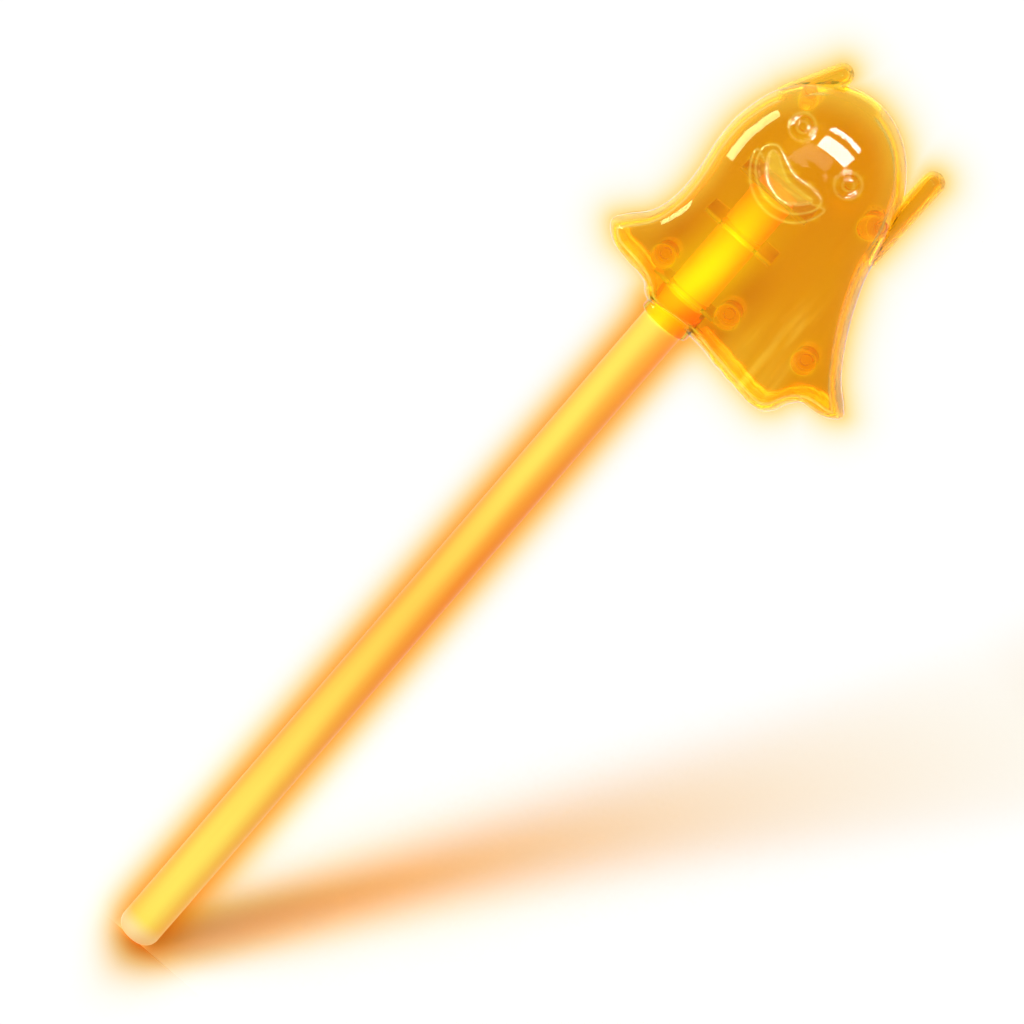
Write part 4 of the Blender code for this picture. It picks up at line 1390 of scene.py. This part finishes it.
def make_world():
    """White to the eye, in gloss and through the plastic, and a low even light on everything else."""
    world = bpy.data.worlds.new("studio")
    bpy.context.scene.world = world
    world.use_nodes = True
    tree = world.node_tree
    path = tree.nodes.new("ShaderNodeLightPath").outputs
    seen = calc(tree, "MAXIMUM", path["Is Camera Ray"], path["Is Glossy Ray"])
    seen = calc(tree, "MAXIMUM", seen, path["Is Transmission Ray"])
    strength = calc(tree, "MULTIPLY_ADD", seen, 1.0 - AMBIENT, AMBIENT)
    feed(tree, tree.nodes["Background"].inputs["Strength"], strength)
    tree.nodes["Background"].inputs["Color"].default_value = (1.0, 1.0, 1.0, 1.0)


def aim(obj, place, target):
    """Puts a lamp in its place and turns it to the target."""
    obj.location = place
    obj.rotation_mode = "QUATERNION"
    obj.rotation_quaternion = (Vector(place) - Vector(target)).to_track_quat("Z", "Y")


def add_light(name, kind, place, target, energy, size=None, only_gloss=False):
    data = bpy.data.lights.new(name, kind)
    data.energy = energy
    if size:
        data.shape = "RECTANGLE"
        data.size, data.size_y = size
    light = bpy.data.objects.new(name, data)
    aim(light, place, target)
    light.visible_camera = False
    if only_gloss:
        light.visible_diffuse = light.visible_transmission = False
    bpy.context.scene.collection.objects.link(light)
    return light


def shine_on(light, name, pieces, shadows=False):
    """Limits a lamp to these pieces, and its shadows too where shadows is true."""
    group = bpy.data.collections.new(name)
    for piece in pieces:
        group.objects.link(piece)
    light.light_linking.receiver_collection = group
    if shadows:
        light.light_linking.blocker_collection = group


def around_head(bearing, rise, distance):
    """A place round the ghost's head: bearing to the right of the front and rise above level, in degrees."""
    bearing, rise = math.radians(bearing), math.radians(rise)
    away = Vector((math.sin(bearing) * math.cos(rise), -math.cos(bearing) * math.cos(rise), math.sin(rise)))
    return head_middle() + away * distance


def head_middle():
    return Vector((BODY_SPINE[1][0], 0.0, COLLAR_LOW + BODY_SPINE[1][1])) * MM


def make_lights(wand, floor):
    """A low sun for the floor's long shadow, soft lamps for the wand, and windows that only gloss shows."""
    heading = Vector((*SUN_HEADING, 0.0)) * math.cos(SUN_RISE) + Vector((0.0, 0.0, -math.sin(SUN_RISE)))
    sun = add_light("floor_sun", "SUN", -heading, (0.0, 0.0, 0.0), FLOOR_SUN)
    sun.data.angle = SUN_SPREAD
    shine_on(sun, "floor_receivers", [floor])
    key = add_light("key", "AREA", KEY_PLACE, KEY_TARGET, KEY_POWER, KEY_SIZE)
    key.visible_glossy = False
    shine_on(key, "wand_receivers", wand, True)
    middle = head_middle()
    for name, bearing, rise, size, brightness, color in WINDOWS:
        place = around_head(bearing, rise, WINDOW_DISTANCE)
        energy = brightness * math.pi * size[0] * size[1]
        window = add_light(name, "AREA", place, middle, energy, size, True)
        window.data.color = color
        shine_on(window, f"{name}_receivers", wand[-2:])


def make_camera():
    """The photo's view: straight from the front, a little from above, with the camera rolled."""
    back = Vector((0.0, -math.cos(CAMERA_RISE), math.sin(CAMERA_RISE)))
    over = Vector((0.0, math.sin(CAMERA_RISE), math.cos(CAMERA_RISE)))
    right = Vector((1.0, 0.0, 0.0)) * math.cos(CAMERA_ROLL) + over * math.sin(CAMERA_ROLL)
    up = back.cross(right)
    data = bpy.data.cameras.new("camera")
    data.sensor_width = SENSOR
    data.lens = SENSOR * CAMERA_DISTANCE / PICTURE_WIDTH
    data.clip_end = 100.0
    camera = bpy.data.objects.new("camera", data)
    turn = Matrix((right, up, back)).transposed().to_4x4()
    camera.matrix_world = Matrix.Translation(CAMERA_TARGET + back * CAMERA_DISTANCE) @ turn
    bpy.context.scene.collection.objects.link(camera)
    bpy.context.scene.camera = camera


def add_piece(obj, body, node):
    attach(obj, body)
    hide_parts(node)


def soft_line(distance, width):
    """1 on a line, falling away smoothly on both sides of it."""
    return np.exp(-((distance / width) ** 2))


def mark_edges(obj):
    """Stores how strongly each point of the skin shines with painted light: as an edge of the face, a fold, a
    sheen on the upper left side, or the rim.
    """
    count = len(obj.data.vertices)
    places = np.empty(count * 3)
    obj.data.vertices.foreach_get("co", places)
    places = places.reshape(-1, 3) / MM
    flat = np.stack([places[:, 0], places[:, 2] - COLLAR_LOW], axis=1)
    skin = np.abs(places[:, 1])
    edges = np.zeros(count)
    face = flat - np.array(FACE_SHIFT)
    for outline, line, inside in FACE_LINES:
        away = signed_distance(face, closed_curve(outline, FACE_STEPS))
        drawn = np.maximum(line * soft_line(away, FACE_LINE_WIDTH), inside * step_up(away))
        edges = np.maximum(edges, drawn)
    for eye in EYES:
        away = np.linalg.norm(face - np.array(eye), axis=1)
        for radius, (line, width) in ((EYE_RADIUS, EYE_LINE), (PUPIL_RADIUS, PUPIL_LINE)):
            edges = np.maximum(edges, line * soft_line(away - radius, width))
    edges *= places[:, 1] < -FACE_FRONT
    edges = np.maximum(edges, FOLD_SHEEN * skirt_relief(flat) * (skin > OUTER_SKIN))
    inside = signed_distance(flat, closed_curve(OUTLINE, FACE_STEPS))
    start, span = SIDE_SHEEN_SPAN
    lit = smooth_step((flat[:, 1] - SIDE_SHEEN_LEAN * flat[:, 0] - start) / span)
    start, span = SIDE_SHEEN_EDGE
    edges += SIDE_SHEEN * lit * (1.0 - smooth_step((inside - start) / span))
    start, span = RIM_EDGE
    middle, width = RIM_LINE
    rim = np.maximum(1.0 - smooth_step((inside - start) / span), soft_line(inside - middle, width))
    gap, fade = RIM_GAP
    from_collar = np.abs(flat[:, 0]) - COLLAR_RADIUS
    rim *= smooth_step((from_collar - gap) / fade + (flat[:, 1] > RIM_GAP_TOP))
    start, span = ARM_RIM
    for line, radii in ARMS.values():
        inside_arm = signed_distance(flat, arm_outline(line, radii, 8))
        rim_arm = 1.0 - smooth_step((inside_arm - start) / span)
        rim = np.where(inside_arm > np.maximum(inside, 0.0), rim_arm, rim)
    for name, values in (("edge_light", edges), ("rim_light", rim)):
        layer = obj.data.attributes.new(name, "FLOAT", "POINT")
        layer.data.foreach_set("value", values.astype(np.float32))


def make_stick(groups, tree):
    """The light stick's turned pieces, each on its body and in place of its CAD node."""
    tube = turned("stick_wall", tube_profile(), tree, tube_plastic(groups))
    plug = turned("stick_cap", plug_profile(), tree, plug_plastic(groups))
    dye = turned("dye", dye_profile(), tree, glowing_liquid("dye", groups, DYE_GAIN))
    ampoule = turned("ampoule", ampoule_profile(), tree, ampoule_glass(groups))
    liquid = glowing_liquid("activator", groups, ACTIVATOR_GAIN)
    activator = turned("activator", activator_profile(), tree, liquid)
    add_piece(tube, "stick", "stick_tube")
    add_piece(plug, "stick", "stick_plug")
    add_piece(dye, "stick", "dye_liquid")
    add_piece(ampoule, "ampoule", "glass_ampoule")
    add_piece(activator, "ampoule", "activator_liquid")
    return [tube, plug, dye, ampoule, activator]


def make_ghost(groups, tree):
    """Both halves of the ghost, in the same amber."""
    amber = amber_plastic(groups)
    front = make_half("ghost_face", -1, SKIN_STEPS, SKIN_RINGS, tree, amber)
    back = make_half("ghost_rear", 1, BACK_STEPS, BACK_RINGS, tree, amber)
    for half, node in ((front, "ghost_front"), (back, "ghost_back")):
        mark_edges(half)
        half.data.materials.clear()
        half.data.materials.append(amber)
        add_piece(half, "topper", node)
    return [front, back]


def make_halos():
    """A card for the stick's halo, and one for the ghost's that rides with it."""
    low, high = (np.array(corner) / MM for corner in cad_bounds)
    side = TOP_RADIUS + HALO_MARGIN
    corners = (-side, TAIL), (side, COLLAR_LOW + HALO_MARGIN)
    halo_card("stick_halo_card", *corners, -HALO_PLANE, stick_halo, stick_shade)
    corners = (low[0] - HALO_MARGIN, COLLAR_LOW - HALO_MARGIN), (high[0] + HALO_MARGIN, high[2] + HALO_MARGIN)
    topper_halo = halo_card("ghost_halo_card", *corners, HALO_PLANE, ghost_halo, ghost_shade)
    topper_halo.parent = frame["bodies"]["topper"]


def main():
    groups = make_groups()
    tree = turned_tree()
    wand = make_stick(groups, tree) + make_ghost(groups, tree)
    make_world()
    floor = make_floor()
    make_halos()
    make_lights(wand, floor)
    make_camera()
    bpy.context.scene.view_settings.view_transform = "Standard"
    cycles = bpy.context.scene.cycles
    cycles.max_bounces = cycles.transmission_bounces = cycles.transparent_max_bounces = LIGHT_BOUNCES
    for obj in wand:
        print(obj.name, sum(len(face.vertices) - 2 for face in obj.data.polygons))


main()
